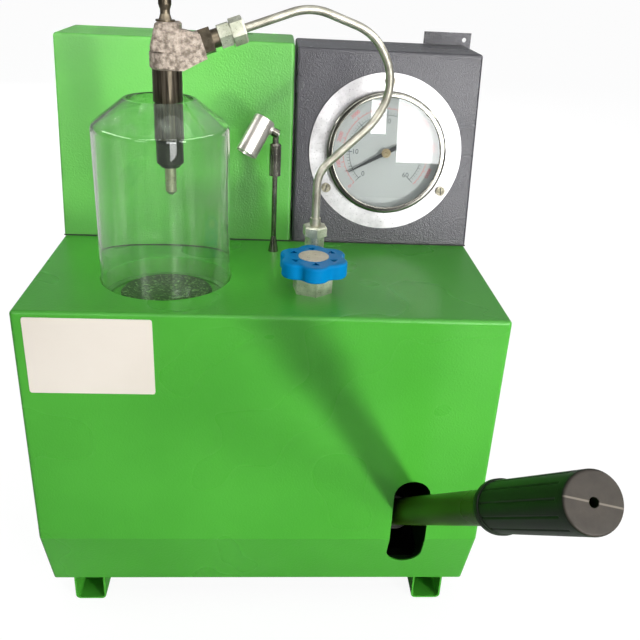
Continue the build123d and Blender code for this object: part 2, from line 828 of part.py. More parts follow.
# Plunger spring: round wire between the tappet and the chamber roof
spring_wire = 1.8
spring_turns = 7
spring_mean = spring_seat - spring_wire
spring_bottom = tappet_bottom + tappet_floor + spring_wire / 2
spring_height = chamber_top - spring_wire / 2 - spring_bottom
with BuildPart() as plunger_spring:
    spring_base = Plane(origin=(pump_x, plunger_y, spring_bottom))
    with BuildLine(spring_base):
        Helix(pitch=spring_height / spring_turns, height=spring_height, radius=spring_mean / 2)
    wire_start = spring_base.from_local_coords((spring_mean / 2, 0, 0))
    with BuildSketch(Plane(origin=wire_start, x_dir=(1, 0, 0), z_dir=(0, 1, 0))):
        Circle(spring_wire / 2)
    sweep(is_frenet=True)
plunger_spring.part.label = "plunger_spring"
export_step(plunger_spring.part, "parts/plunger_spring.step")

# Lever shaft: pressed into the cheeks, with a grooved end cap each side
shaft_cap = 18.0
shaft_cap_thickness = 3.0
cheek_outer = cheek_inner + cheek_thickness
pivot_plane = Plane(origin=(pump_x, pivot_y, pivot_z), x_dir=(0, 1, 0), z_dir=(1, 0, 0))
with BuildPart() as lever_shaft:
    with BuildSketch(pivot_plane):
        Circle(shaft_diameter / 2)
    extrude(amount=cheek_outer, both=True)
    for side in (-1, 1):
        with BuildSketch(pivot_plane.offset(side * (cheek_outer + shaft_cap_thickness / 2))):
            Circle(shaft_cap / 2)
        extrude(amount=shaft_cap_thickness / 2, both=True)
lever_shaft.part.label = "lever_shaft"
export_step(lever_shaft.part, "parts/lever_shaft.step")

# Lever line: from the pivot up and forward, cranked outwards to clear the cabinet
rise = math.radians(lever_rise)
crank = math.radians(lever_crank)
lever_dir = Vector(
    math.sin(crank), -math.cos(crank) * math.cos(rise), math.cos(crank) * math.sin(rise)
)
lever_plane = Plane(
    origin=(pump_x, pivot_y, pivot_z), x_dir=(math.cos(crank), 0, 0), z_dir=lever_dir
)

lever_line = Axis(lever_plane.origin, lever_dir)

# Lever arm: hub on the shaft, tube socket in front, forked roller arm behind
hub_diameter = 22.0
hub_half = cheek_inner - fit_gap
socket_diameter = 28.0
socket_floor = 14.0
socket_end = 46.0
fork_inner = 5.0
fork_thickness = 4.5
fork_width = 9.0
roller_pin = 5.0
with BuildPart() as lever_arm:
    with BuildSketch(pivot_plane):
        Circle(hub_diameter / 2)
    extrude(amount=hub_half, both=True)
    with BuildSketch(lever_plane):
        Circle(socket_diameter / 2)
    extrude(amount=socket_end)
    for side in (-1, 1):
        with BuildSketch(pivot_plane.offset(side * (fork_inner + fork_thickness / 2))):
            with Locations((rear_arm / 2 * math.cos(rest_dip), -rear_arm / 2 * math.sin(rest_dip))):
                SlotCenterToCenter(rear_arm, fork_width, rotation=-rear_arm_dip)
        extrude(amount=fork_thickness / 2, both=True)
    with BuildSketch(lever_plane.offset(socket_floor)):
        Circle(tube_diameter / 2)
    extrude(amount=socket_end - socket_floor + cut_over, mode=Mode.SUBTRACT)
    with BuildSketch(pivot_plane):
        Circle(shaft_diameter / 2 + running_gap)
        with Locations((rear_arm * math.cos(rest_dip), -rear_arm * math.sin(rest_dip))):
            Circle(roller_pin / 2 + running_gap)
    extrude(amount=hub_half + cut_over, both=True, mode=Mode.SUBTRACT)
lever_arm.part.label = "lever_arm"
export_step(lever_arm.part, "parts/lever_arm.step")

# Tappet roller: turned in one piece with its journals in the fork
roller_half = fork_inner - fit_gap
with BuildPart() as tappet_roller:
    roller_plane = Plane(origin=(pump_x, roller_y, roller_z), x_dir=(0, 1, 0), z_dir=(1, 0, 0))
    with BuildSketch(roller_plane):
        Circle(roller_diameter / 2)
    extrude(amount=roller_half, both=True)
    with BuildSketch(roller_plane):
        Circle(roller_pin / 2)
    extrude(amount=fork_inner + fork_thickness, both=True)
tappet_roller.part.label = "tappet_roller"
export_step(tappet_roller.part, "parts/tappet_roller.step")

# Lever tube: painted steel tube driven into the socket
tube_wall = 2.0
tube_end = 374.0
with BuildPart() as lever_tube:
    with BuildSketch(lever_plane.offset(socket_floor)):
        Circle(tube_diameter / 2)
        Circle(tube_diameter / 2 - tube_wall, mode=Mode.SUBTRACT)
    extrude(amount=tube_end - socket_floor)
lever_tube.part.label = "lever_tube"
export_step(lever_tube.part, "parts/lever_tube.step")

# Lever grip: moulded rubber sleeve with an inner collar, ribs and a vented end
grip_start = 272.5
grip_end = 380.0
grip_diameter = 30.4
grip_collar = 32.4
grip_collar_length = 6.0
grip_round = 1.6
collar_round = 0.8
grip_vent = 4.8
grip_grooves = 12
groove_width = 1.6
groove_depth = 0.6
groove_margin = 8.0
with BuildPart() as lever_grip:
    with BuildSketch(lever_plane.offset(grip_start)):
        Circle(grip_diameter / 2)
    extrude(amount=grip_end - grip_start)
    fillet(edges().filter_by(GeomType.CIRCLE).sort_by(lever_line)[-1], radius=grip_round)
    with BuildSketch(lever_plane.offset(grip_start)):
        Circle(grip_collar / 2)
    extrude(amount=grip_collar_length)
    collar_edges = edges().filter_by(GeomType.CIRCLE).group_by(SortBy.RADIUS)[-1]
    fillet(collar_edges, radius=collar_round)
    with BuildSketch(lever_plane.offset(grip_start + groove_margin)):
        with PolarLocations(grip_diameter / 2, grip_grooves):
            Rectangle(2 * groove_depth, groove_width)
    extrude(amount=grip_end - grip_start - 2 * groove_margin, mode=Mode.SUBTRACT)
    with BuildSketch(lever_plane.offset(grip_start - cut_over)):
        Circle(tube_diameter / 2)
    extrude(amount=tube_end - grip_start + cut_over, mode=Mode.SUBTRACT)
    with BuildSketch(lever_plane.offset(grip_start)):
        Circle(grip_vent / 2)
    extrude(amount=grip_end - grip_start + cut_over, mode=Mode.SUBTRACT)
lever_grip.part.label = "lever_grip"
export_step(lever_grip.part, "parts/lever_grip.step")

# Delivery valve holder: hexagon body on the barrel, threaded nipple on top
holder_hex = 24.0
holder_hex_height = 12.0
nipple_diameter = 15.0
nipple_height = 24.0
nipple_top = barrel_top + nipple_height
high_bore = 2.4
with BuildPart() as delivery_valve_holder:
    with BuildSketch(Plane.XY.offset(barrel_top)):
        with Locations((pump_x, plunger_y)):
            hexagon(holder_hex)
    extrude(amount=holder_hex_height)
    with BuildSketch(Plane.XY.offset(barrel_top)):
        with Locations((pump_x, plunger_y)):
            Circle(nipple_diameter / 2)
    extrude(amount=nipple_top - barrel_top)
    with BuildSketch(Plane.XY.offset(barrel_top - cut_over)):
        with Locations((pump_x, plunger_y)):
            Circle(high_bore / 2)
    extrude(amount=nipple_top - barrel_top + 2 * cut_over, mode=Mode.SUBTRACT)
delivery_valve_holder.part.label = "delivery_valve_holder"
export_step(delivery_valve_holder.part, "parts/delivery_valve_holder.step")

# Suction pipe: from the strainer to the inlet port of the barrel
suction_start_x = tank_right + strainer_hex_length
suction_turn_x = 62.0
suction_bend = 14.0
suction_end_x = pump_x - port_reach
with BuildPart() as suction_pipe:
    with BuildLine():
        FilletPolyline(
            (suction_start_x, strainer_y, strainer_z),
            (suction_turn_x, strainer_y, strainer_z),
            (suction_turn_x, strainer_y, port_z),
            (suction_turn_x, plunger_y, port_z),
            (suction_end_x, plunger_y, port_z),
            radius=suction_bend,
        )
    with BuildSketch(
        Plane(origin=(suction_start_x, strainer_y, strainer_z), x_dir=(0, 1, 0), z_dir=(1, 0, 0))
    ):
        Circle(suction_diameter / 2)
        Circle(suction_diameter / 2 - suction_wall, mode=Mode.SUBTRACT)
    sweep()
suction_pipe.part.label = "suction_pipe"
export_step(suction_pipe.part, "parts/suction_pipe.step")

# Valve block: steel block under the deck with the needle bore and three ports
block_half_width = 20.0
block_front_y = -97.0
block_rear_y = -20.0
block_below_deck = 32.0
ports_below_deck = 18.0
block_bottom = cabinet_top - block_below_deck
block_z = cabinet_top - ports_below_deck
needle_diameter = 6.0
bonnet_neck = 18.0
bonnet_neck_length = 14.0
needle_length = 12.0
bonnet_neck_bottom = cabinet_top - bonnet_neck_length
needle_tip_z = bonnet_neck_bottom - needle_length
port_boss = 15.0
port_boss_length = 8.0
pump_port_y = -57.0
gauge_port_x = 45.0
with BuildPart() as valve_block:
    with BuildSketch(Plane.XY.offset(block_bottom)):
        with Locations((valve_x, (block_front_y + block_rear_y) / 2)):
            Rectangle(2 * block_half_width, block_rear_y - block_front_y)
        fillet(vertices(), radius=corner_radius)
    extrude(amount=deck_under - block_bottom)
    with BuildSketch(Plane.YZ.offset(valve_x + block_half_width)):
        with Locations((pump_port_y, block_z)):
            Circle(port_boss / 2)
    extrude(amount=port_boss_length)
    with BuildSketch(upright_plane(gauge_port_x, block_rear_y)):
        with Locations((0, block_z)):
            Circle(port_boss / 2)
    extrude(amount=-port_boss_length)
    add(turned(valve_plane, [
        (0, needle_tip_z - running_gap),
        (needle_diameter / 2 + running_gap, needle_tip_z + needle_diameter / 2),
        (needle_diameter / 2 + running_gap, bonnet_neck_bottom),
        (bonnet_neck / 2, bonnet_neck_bottom),
        (bonnet_neck / 2, deck_under + cut_over),
        (0, deck_under + cut_over),
    ]), mode=Mode.SUBTRACT)
    with BuildSketch(Plane.XY.offset(block_z)):
        with Locations((outlet_x, outlet_y)):
            Circle(outlet_hole / 2)
    extrude(amount=deck_under - block_z + cut_over, mode=Mode.SUBTRACT)
valve_block.part.label = "valve_block"
export_step(valve_block.part, "parts/valve_block.step")

# Bonnet nut: hexagon on the deck, its neck screwed into the block
bonnet_hex = 27.0
bonnet_turn = 38.0
spindle_diameter = 10.0
nut_chamfer = 1.2
with BuildPart() as bonnet_nut:
    with BuildSketch(Plane.XY.offset(cabinet_top)):
        with Locations((valve_x, valve_y)):
            hexagon(bonnet_hex, bonnet_turn)
    extrude(amount=bonnet_height)
    chamfer(faces().sort_by(Axis.Z)[-1].edges(), length=nut_chamfer, length2=nut_chamfer / 2)
    with BuildSketch(Plane.XY.offset(bonnet_neck_bottom)):
        with Locations((valve_x, valve_y)):
            Circle(bonnet_neck / 2)
    extrude(amount=cabinet_top - bonnet_neck_bottom)
    with BuildSketch(Plane.XY.offset(bonnet_neck_bottom - cut_over)):
        with Locations((valve_x, valve_y)):
            Circle(spindle_diameter / 2 + running_gap)
    extrude(
        amount=cabinet_top + bonnet_height - bonnet_neck_bottom + 2 * cut_over,
        mode=Mode.SUBTRACT,
    )
bonnet_nut.part.label = "bonnet_nut"
export_step(bonnet_nut.part, "parts/bonnet_nut.step")

# Valve needle: slides in the block and closes the seat with its cone
with BuildPart() as valve_needle:
    add(turned(valve_plane, [
        (0, needle_tip_z),
        (needle_diameter / 2, needle_tip_z + needle_diameter / 2),
        (needle_diameter / 2, bonnet_neck_bottom),
        (0, bonnet_neck_bottom),
    ]))
valve_needle.part.label = "valve_needle"
export_step(valve_needle.part, "parts/valve_needle.step")

# Valve spindle: turns in the bonnet nut and carries the handwheel
wheel_top = wheel_bottom + wheel_thickness
spindle_sink = 2.0
spindle_top = wheel_top - spindle_sink
with BuildPart() as valve_spindle:
    with BuildSketch(Plane.XY.offset(bonnet_neck_bottom + fit_gap)):
        with Locations((valve_x, valve_y)):
            Circle(spindle_diameter / 2)
    extrude(amount=spindle_top - bonnet_neck_bottom - fit_gap)
valve_spindle.part.label = "valve_spindle"
export_step(valve_spindle.part, "parts/valve_spindle.step")

# Handwheel: six lobes, a sunk face between rim and hub, six small pockets
lobe_count = 6
lobe_turn = 33.0
lobe_radius = 10.5
lobe_place = wheel_diameter / 2 - lobe_radius
wheel_core = 20.5
valley_radius = 6.0
wheel_edge = 1.8
badge_diameter = 22.6
badge_sink = 0.4
pocket_place = 16.4
pocket_side = 6.2
pocket_depth = 4.0
with BuildPart() as handwheel:
    with BuildSketch(Plane.XY.offset(wheel_bottom)) as wheel_outline:
        with Locations((valve_x, valve_y)):
            Circle(wheel_core)
            with PolarLocations(lobe_place, lobe_count, start_angle=lobe_turn):
                Circle(lobe_radius)
        fillet(vertices(), radius=valley_radius)
    extrude(amount=wheel_thickness)
    fillet(faces().filter_by(Axis.Z).edges(), radius=wheel_edge)
    with BuildSketch(Plane.XY.offset(wheel_top)):
        with Locations((valve_x, valve_y)):
            Circle(badge_diameter / 2)
    extrude(amount=-badge_sink, mode=Mode.SUBTRACT)
    with BuildSketch(Plane.XY.offset(wheel_top)):
        with Locations((valve_x, valve_y)):
            with PolarLocations(pocket_place, lobe_count, start_angle=lobe_turn):
                Triangle(a=pocket_side, b=pocket_side, c=pocket_side, rotation=90)
    extrude(amount=-pocket_depth, mode=Mode.SUBTRACT)
    with BuildSketch(Plane.XY.offset(wheel_bottom - cut_over)):
        with Locations((valve_x, valve_y)):
            Circle(spindle_diameter / 2)
    extrude(amount=spindle_top - wheel_bottom + cut_over, mode=Mode.SUBTRACT)
handwheel.part.label = "handwheel"
export_step(handwheel.part, "parts/handwheel.step")

# Badge disc pressed into the wheel's face
badge_thickness = 1.0
with BuildPart() as wheel_badge:
    with BuildSketch(Plane.XY.offset(wheel_top - badge_sink)):
        with Locations((valve_x, valve_y)):
            Circle(badge_diameter / 2)
    extrude(amount=badge_thickness)
    fillet(faces().sort_by(Axis.Z)[-1].edges(), radius=badge_sink)
wheel_badge.part.label = "wheel_badge"
export_step(wheel_badge.part, "parts/wheel_badge.step")

# Outlet adapter: stands in the block, up through the deck, with a collar on top
adapter_diameter = 15.0
adapter_waist = 12.5
adapter_height = 30.6
adapter_groove_height = 20.0
adapter_groove_width = 2.0
nut_height = 7.8
lower_nut_bottom = cabinet_top + adapter_height
adapter_groove_bottom = cabinet_top + adapter_groove_height
adapter_groove_top = adapter_groove_bottom + adapter_groove_width
with BuildPart() as outlet_adapter:
    add(turned(outlet_plane, [
        (high_bore / 2, block_z),
        (outlet_hole / 2, block_z),
        (outlet_hole / 2, cabinet_top),
        (outlet_hole / 2 + sheet, cabinet_top),
        (outlet_hole / 2 + sheet, cabinet_top + bonnet_height / 2),
        (adapter_diameter / 2, cabinet_top + bonnet_height / 2),
        (adapter_diameter / 2, adapter_groove_bottom),
        (adapter_waist / 2, adapter_groove_bottom),
        (adapter_waist / 2, adapter_groove_top),
        (adapter_diameter / 2, adapter_groove_top),
        (adapter_diameter / 2, lower_nut_bottom),
        (high_bore / 2, lower_nut_bottom),
    ]))
outlet_adapter.part.label = "outlet_adapter"
export_step(outlet_adapter.part, "parts/outlet_adapter.step")

# Pipe plane: upright, through the injector line and the outlet line
pipe_heading = math.atan2(outlet_y - injector_y, outlet_x - injector_x)
pipe_span = math.hypot(outlet_x - injector_x, outlet_y - injector_y)
pipe_plane = Plane(
    origin=(injector_x, injector_y, 0),
    x_dir=(math.cos(pipe_heading), math.sin(pipe_heading), 0),
    z_dir=(math.sin(pipe_heading), -math.cos(pipe_heading), 0),
)
connector_slope = math.radians(connector_rise)


def along_connector(reach):
    """The point of the pipe plane that lies at a reach along the connector line."""
    return (
        reach * math.cos(connector_slope),
        connector_height + reach * math.sin(connector_slope),
    )


connector_dir = pipe_plane.x_dir * math.cos(connector_slope) + pipe_plane.y_dir * math.sin(
    connector_slope
)
connector_plane = Plane(
    origin=pipe_plane.from_local_coords((0, connector_height, 0)),
    x_dir=pipe_plane.z_dir,
    z_dir=connector_dir,
)

# Union nuts: one of a kind at every end of the inner pipes and at the outlet
union_hex = 17.0
union_turn = 38.0
nut_bore = pipe_diameter
stem_drop = 14.0
case_depth_share = 0.484
case_depth = case_depth_share * (rear_y - gauge_centre[1])
gauge_stem_radius = 7.0
case_radius = 49.0
stem_plane = Plane(
    origin=gauge_plane.from_local_coords((0, -(case_radius + stem_drop), -case_depth / 2)),
    x_dir=(1, 0, 0),
    z_dir=(0, -lean_sin, -lean_cos),
)
outlet_nut_plane = Plane(origin=(outlet_x, outlet_y, lower_nut_bottom))
pump_nut_plane = Plane(origin=(pump_x, plunger_y, nipple_top))
block_nut_plane = Plane(
    origin=(valve_x + block_half_width + port_boss_length, pump_port_y, block_z),
    x_dir=(0, 1, 0),
    z_dir=(1, 0, 0),
)
gauge_nut_plane = Plane(
    origin=(gauge_port_x, block_rear_y + port_boss_length, block_z),
    x_dir=(1, 0, 0),
    z_dir=(0, 1, 0),
)
with BuildPart() as union_nuts:
    for nut_plane in (
        outlet_nut_plane, pump_nut_plane, block_nut_plane, gauge_nut_plane, stem_plane,
    ):
        with BuildSketch(nut_plane):
            hexagon(union_hex, union_turn)
            Circle(nut_bore / 2, mode=Mode.SUBTRACT)
        extrude(amount=nut_height)
        outer = end_face(faces(), nut_plane.offset(nut_height)).edges().filter_by(GeomType.LINE)
        chamfer(outer, length=nut_chamfer, length2=nut_chamfer / 2)
union_nuts.part.label = "union_nuts"
export_step(union_nuts.part, "parts/union_nuts.step")


# Pipes of the high-pressure line, bent cold with straight runs between the bends
def pipe_ring():
    """Draw the ring of the high-pressure pipe in the sketch that is open."""
    Circle(pipe_diameter / 2)
    Circle(high_bore / 2, mode=Mode.SUBTRACT)


pressure_drop = 28.0
pressure_rise_z = block_z - pressure_drop
pressure_bend = 12.0
with BuildPart() as pressure_pipe:
    with BuildLine():
        FilletPolyline(
            (pump_x, plunger_y, nipple_top),
            (pump_x, plunger_y, pressure_rise_z),
            (pump_x, pump_port_y, block_z),
            (valve_x + block_half_width + port_boss_length, pump_port_y, block_z),
            radius=pressure_bend,
        )
    with BuildSketch(pump_nut_plane):
        pipe_ring()
    sweep()
pressure_pipe.part.label = "pressure_pipe"
export_step(pressure_pipe.part, "parts/pressure_pipe.step")

stem_rise = (stem_plane.origin.Z - block_z) / lean_cos
stem_foot = stem_plane.offset(stem_rise).origin
with BuildPart() as gauge_pipe:
    with BuildLine():
        FilletPolyline(
            (gauge_port_x, block_rear_y + port_boss_length, block_z),
            (gauge_port_x, stem_foot.Y, block_z),
            (gauge_x, stem_foot.Y, block_z),
            (gauge_x, stem_plane.origin.Y, stem_plane.origin.Z),
            radius=pressure_bend,
        )
    with BuildSketch(gauge_nut_plane):
        pipe_ring()
    sweep()
gauge_pipe.part.label = "gauge_pipe"
export_step(gauge_pipe.part, "parts/gauge_pipe.step")

# Delivery pipe: swings over from the injector, round to the right and down; its corners are
# given along the pipe plane and above the connector's height
union_start = 38.0
union_step = 9.0
union_length = 18.5
pipe_start = along_connector(union_start + union_length / 2)
pipe_corners = [(99.0, 34.4), (146.0, 18.0), (165.0, -16.0), (150.0, -44.0)]
pipe_drop = 82.0
ferrule_diameter = 8.4
ferrule_length = 6.0
pipe_points = [
    pipe_start,
    *[(along, connector_height + above) for along, above in pipe_corners],
    (pipe_span, connector_height - pipe_drop),
    (pipe_span, lower_nut_bottom),
]
pipe_bends = [40.0, 39.0, 39.0, 45.0, 24.0]
with BuildPart() as delivery_pipe:
    with BuildLine(pipe_plane):
        FilletPolyline(*pipe_points, radius=pipe_bends)
    first_run = Vector(*pipe_points[1]) - Vector(*pipe_points[0])
    start_dir = pipe_plane.x_dir * first_run.X + pipe_plane.y_dir * first_run.Y
    start_origin = pipe_plane.from_local_coords((*pipe_start, 0))
    with BuildSketch(Plane(origin=start_origin, x_dir=pipe_plane.z_dir, z_dir=start_dir)):
        pipe_ring()
    sweep()
    with BuildSketch(outlet_nut_plane.offset(nut_height)):
        Circle(ferrule_diameter / 2)
        Circle(high_bore / 2, mode=Mode.SUBTRACT)
    extrude(amount=ferrule_length)
delivery_pipe.part.label = "delivery_pipe"
export_step(delivery_pipe.part, "parts/delivery_pipe.step")

# Upper union nut: two hexagons with a groove between them
upper_hex_near = 15.0
upper_hex_far = 16.5
upper_far_turn = 15.0
upper_groove = 14.0
groove_length = 0.8
with BuildPart() as upper_union_nut:
    with BuildSketch(connector_plane.offset(union_start)):
        hexagon(upper_hex_near)
    extrude(amount=union_step - groove_length)
    with BuildSketch(connector_plane.offset(union_start)):
        Circle(upper_groove / 2)
    extrude(amount=union_length)
    with BuildSketch(connector_plane.offset(union_start + union_step)):
        hexagon(upper_hex_far, upper_far_turn)
    extrude(amount=union_length - union_step)
    outer = end_face(faces(), connector_plane.offset(union_start + union_length)).edges()
    chamfer(outer, length=nut_chamfer, length2=nut_chamfer / 2)
    with BuildSketch(connector_plane.offset(union_start - cut_over)):
        Circle(pipe_diameter / 2 + running_gap)
    extrude(amount=union_length + 2 * cut_over, mode=Mode.SUBTRACT)
upper_union_nut.part.label = "upper_union_nut"
export_step(upper_union_nut.part, "parts/upper_union_nut.step")

# Inlet connector: screwed into the injector boss, a small hexagon and a thread
connector_start = 25.0
connector_hex = 16.0
connector_turn = -14.0
connector_hex_length = 8.0
connector_thread = 12.6
with BuildPart() as inlet_connector:
    with BuildSketch(connector_plane.offset(connector_start)):
        hexagon(connector_hex, connector_turn)
    extrude(amount=connector_hex_length)
    with BuildSketch(connector_plane.offset(connector_start)):
        Circle(connector_thread / 2)
    extrude(amount=union_start - connector_start)
    with BuildSketch(connector_plane.offset(connector_start - cut_over)):
        Circle(high_bore / 2)
    extrude(amount=union_start - connector_start + 2 * cut_over, mode=Mode.SUBTRACT)
inlet_connector.part.label = "inlet_connector"
export_step(inlet_connector.part, "parts/inlet_connector.step")

# Injector body: cast block with a collar, a side lug and the inlet boss
body_width = 20.4
body_height = 18.6
body_above_connector = 2.6
body_bottom = connector_height + body_above_connector
body_top = body_bottom + body_height
body_round = 4.0
collar_diameter = 23.4
collar_height = 11.0
neck_height = 1.0
neck_diameter = 19.5
collar_top = body_bottom - neck_height
collar_bottom = collar_top - collar_height
boss_diameter = 17.0
lug_depth = 9.0
lug_front = 10.2
spot_face = 19.2
block_taper = 4.0
taper_start = 3.0
lug_top = 17.6
lug_foot = 11.0
lug_corners = [(12.0, 17.0), (22.4, 14.6), (27.4, -1.0)]
injector_plane = upright_plane(injector_x, injector_y)
with BuildPart() as injector_body:
    with BuildSketch(injector_plane):
        with BuildLine():
            Polyline(
                (-body_width / 2, body_bottom),
                (body_width / 2, body_bottom),
                (body_width / 2, body_top),
                (block_taper - body_width / 2, body_top),
                (-body_width / 2, body_bottom + taper_start),
                close=True,
            )
        make_face()
    extrude(amount=body_width / 2, both=True)
    corners = edges().filter_by(lambda edge: abs(edge.tangent_at(0).Z) > lean_cos - lean_sin)
    fillet(corners, radius=body_round)
    chamfer(faces().sort_by(Axis.Z)[-1].edges(), length=nut_chamfer)
    add(turned(injector_plane, [
        (0, collar_bottom),
        (collar_diameter / 2 - nut_chamfer, collar_bottom),
        (collar_diameter / 2, collar_bottom + nut_chamfer),
        (collar_diameter / 2, collar_top),
        (neck_diameter / 2, collar_top),
        (neck_diameter / 2, body_bottom),
        (0, body_bottom),
    ]))
    with BuildSketch(connector_plane):
        Circle(boss_diameter / 2)
    extrude(amount=connector_start)
    with BuildSketch(pipe_plane.offset(lug_front)):
        with BuildLine():
            Polyline(
                (0, connector_height + lug_top),
                *[(along, connector_height + above) for along, above in lug_corners],
                (lug_foot, collar_bottom),
                (0, collar_bottom),
                close=True,
            )
        make_face()
    extrude(amount=-lug_depth)
    with BuildSketch(connector_plane.offset(connector_start)):
        Circle(spot_face / 2)
    extrude(amount=connector_hex_length, mode=Mode.SUBTRACT)
injector_body.part.label = "injector_body"
export_step(injector_body.part, "parts/injector_body.step")

# Leak-off stem on top of the injector, with a washer and a waist
washer_diameter = 13.0
washer_thickness = 1.2
stem_diameter = 8.8
stem_waist = 6.6
stem_height = 26.8
waist_start = 4.8
waist_length = 2.5
waist_flare = 3.5
stem_top = body_top + stem_height
with BuildPart() as leak_off_stem:
    add(turned(injector_plane, [
        (0, body_top),
        (washer_diameter / 2, body_top),
        (washer_diameter / 2, body_top + washer_thickness),
        (stem_diameter / 2, body_top + washer_thickness),
        (stem_waist / 2, body_top + waist_start),
        (stem_waist / 2, body_top + waist_start + waist_length),
        (stem_diameter / 2, body_top + waist_start + waist_length + waist_flare),
        (stem_diameter / 2, stem_top - nut_chamfer),
        (stem_diameter / 2 - nut_chamfer, stem_top),
        (0, stem_top),
    ]))
leak_off_stem.part.label = "leak_off_stem"
export_step(leak_off_stem.part, "parts/leak_off_stem.step")

# Nozzle holder: ground cylinder with one groove near the jar's mouth
holder_diameter = 20.6
holder_length = 47.6
groove_height = 24.0
groove_sink = 1.0
holder_bottom = collar_bottom - holder_length
groove_z = holder_bottom + groove_height
with BuildPart() as nozzle_holder:
    add(turned(injector_plane, [
        (0, holder_bottom),
        (holder_diameter / 2, holder_bottom),
        (holder_diameter / 2, groove_z),
        (holder_diameter / 2 - groove_sink, groove_z),
        (holder_diameter / 2 - groove_sink, groove_z + groove_sink),
        (holder_diameter / 2, groove_z + 2 * groove_sink),
        (holder_diameter / 2, collar_bottom),
        (0, collar_bottom),
    ]))
nozzle_holder.part.label = "nozzle_holder"
export_step(nozzle_holder.part, "parts/nozzle_holder.step")

# Nozzle cap nut with a chamfered lower end
cap_diameter = 19.2
cap_height = 20.0
cap_chamfer = 3.0
cap_bore = 14.0
cap_floor = 5.0
tip_diameter = 8.0
cap_bottom = holder_bottom - cap_height
nozzle_shoulder = cap_bottom + cap_floor
with BuildPart() as nozzle_cap_nut:
    add(turned(injector_plane, [
        (tip_diameter / 2, cap_bottom),
        (cap_diameter / 2 - cap_chamfer, cap_bottom),
        (cap_diameter / 2, cap_bottom + cap_chamfer),
        (cap_diameter / 2, holder_bottom),
        (cap_bore / 2, holder_bottom),
        (cap_bore / 2, nozzle_shoulder),
        (tip_diameter / 2, nozzle_shoulder),
    ]))
nozzle_cap_nut.part.label = "nozzle_cap_nut"
export_step(nozzle_cap_nut.part, "parts/nozzle_cap_nut.step")

# Nozzle: wide body inside the cap nut, slim tip below
tip_length = 20.0
tip_cone = 2.4
nozzle_tip = cap_bottom - tip_length
with BuildPart() as nozzle:
    add(turned(injector_plane, [
        (0, nozzle_tip),
        (tip_diameter / 2 - tip_cone, nozzle_tip),
        (tip_diameter / 2, nozzle_tip + tip_cone),
        (tip_diameter / 2, nozzle_shoulder),
        (cap_bore / 2, nozzle_shoulder),
        (cap_bore / 2, holder_bottom),
        (0, holder_bottom),
    ]))
nozzle.part.label = "nozzle"
export_step(nozzle.part, "parts/nozzle.step")

# Gauge case: flange on the panel, cup behind it and a seat ring in front
flange_thickness = 2.0
case_wall = 1.5
seat_height = 5.0
with BuildPart() as gauge_case:
    with BuildSketch(gauge_plane):
        Circle(gauge_flange / 2)
    extrude(amount=flange_thickness)
    with BuildSketch(gauge_plane.offset(flange_thickness + seat_height)):
        Circle(case_radius)
    extrude(amount=-(flange_thickness + seat_height + case_depth))
    with BuildSketch(gauge_plane.offset(flange_thickness + seat_height + cut_over)):
        Circle(case_radius - case_wall)
    extrude(
        amount=-(flange_thickness + seat_height + cut_over + case_depth - case_wall),
        mode=Mode.SUBTRACT,
    )
    with BuildSketch(gauge_plane.offset(flange_thickness + cut_over)):
        with Locations(*gauge_screw_spots):
            Circle(screw_hole / 2)
    extrude(amount=-(flange_thickness + 2 * cut_over), mode=Mode.SUBTRACT)
    with BuildSketch(stem_plane.offset(-(stem_drop + 2 * gauge_stem_radius))):
        Circle(gauge_stem_radius)
    extrude(amount=stem_drop + 2 * gauge_stem_radius, mode=Mode.SUBTRACT)
gauge_case.part.label = "gauge_case"
export_step(gauge_case.part, "parts/gauge_case.step")

# Pan screws: in the rear covers and in the gauge flange, all of one kind
screw_seats = (
    (upright_plane(0, rear_y + sheet), cover_screw_spots, -1),
    (gauge_plane.offset(flange_thickness), gauge_screw_spots, 1),
)
with BuildPart() as pan_screws:
    for seat, spots, outwards in screw_seats:
        with BuildSketch(seat):
            with Locations(*spots):
                Circle(screw_head_diameter / 2)
        extrude(amount=outwards * screw_head_height)
        with BuildSketch(seat):
            with Locations(*spots):
                Circle(screw_shank / 2)
        extrude(amount=-outwards * screw_length)
    rims = edges().filter_by(GeomType.CIRCLE).group_by(SortBy.RADIUS)[-1]
    chamfer(rims.filter_by(lambda rim: rim.center().Y > rear_y + 2 * sheet), length=nut_chamfer / 2)
pan_screws.part.label = "pan_screws"
export_step(pan_screws.part, "parts/pan_screws.step")

# Bezel: rolled ring over the seat, holding the glass
bezel_outer = 50.6
bezel_inner = 45.4
bezel_top = 10.0
glass_low = 7.0
glass_thickness = 2.0
lip_round = 1.6
with BuildPart() as gauge_bezel:
    with BuildSketch(gauge_plane.offset(flange_thickness)):
        Circle(bezel_outer)
    extrude(amount=bezel_top - flange_thickness)
    fillet(edges().sort_by(gauge_axis)[-1], radius=lip_round)
    with BuildSketch(gauge_plane):
        Circle(case_radius)
    extrude(amount=glass_low + glass_thickness, mode=Mode.SUBTRACT)
    with BuildSketch(gauge_plane):
        Circle(bezel_inner)
    extrude(amount=bezel_top + cut_over, mode=Mode.SUBTRACT)
gauge_bezel.part.label = "gauge_bezel"
export_step(gauge_bezel.part, "parts/gauge_bezel.step")

with BuildPart() as gauge_glass:
    with BuildSketch(gauge_plane.offset(glass_low)):
        Circle(case_radius)
    extrude(amount=glass_thickness)
gauge_glass.part.label = "gauge_glass"
export_step(gauge_glass.part, "parts/gauge_glass.step")

# Dial plate inside the case
dial_low = 0.5
dial_thickness = 1.0
arbor_diameter = 2.4
with BuildPart() as gauge_dial:
    with BuildSketch(gauge_plane.offset(dial_low)):
        Circle(case_radius - case_wall)
        Circle(arbor_diameter / 2 + running_gap, mode=Mode.SUBTRACT)
    extrude(amount=dial_thickness)
gauge_dial.part.label = "gauge_dial"
export_step(gauge_dial.part, "parts/gauge_dial.step")

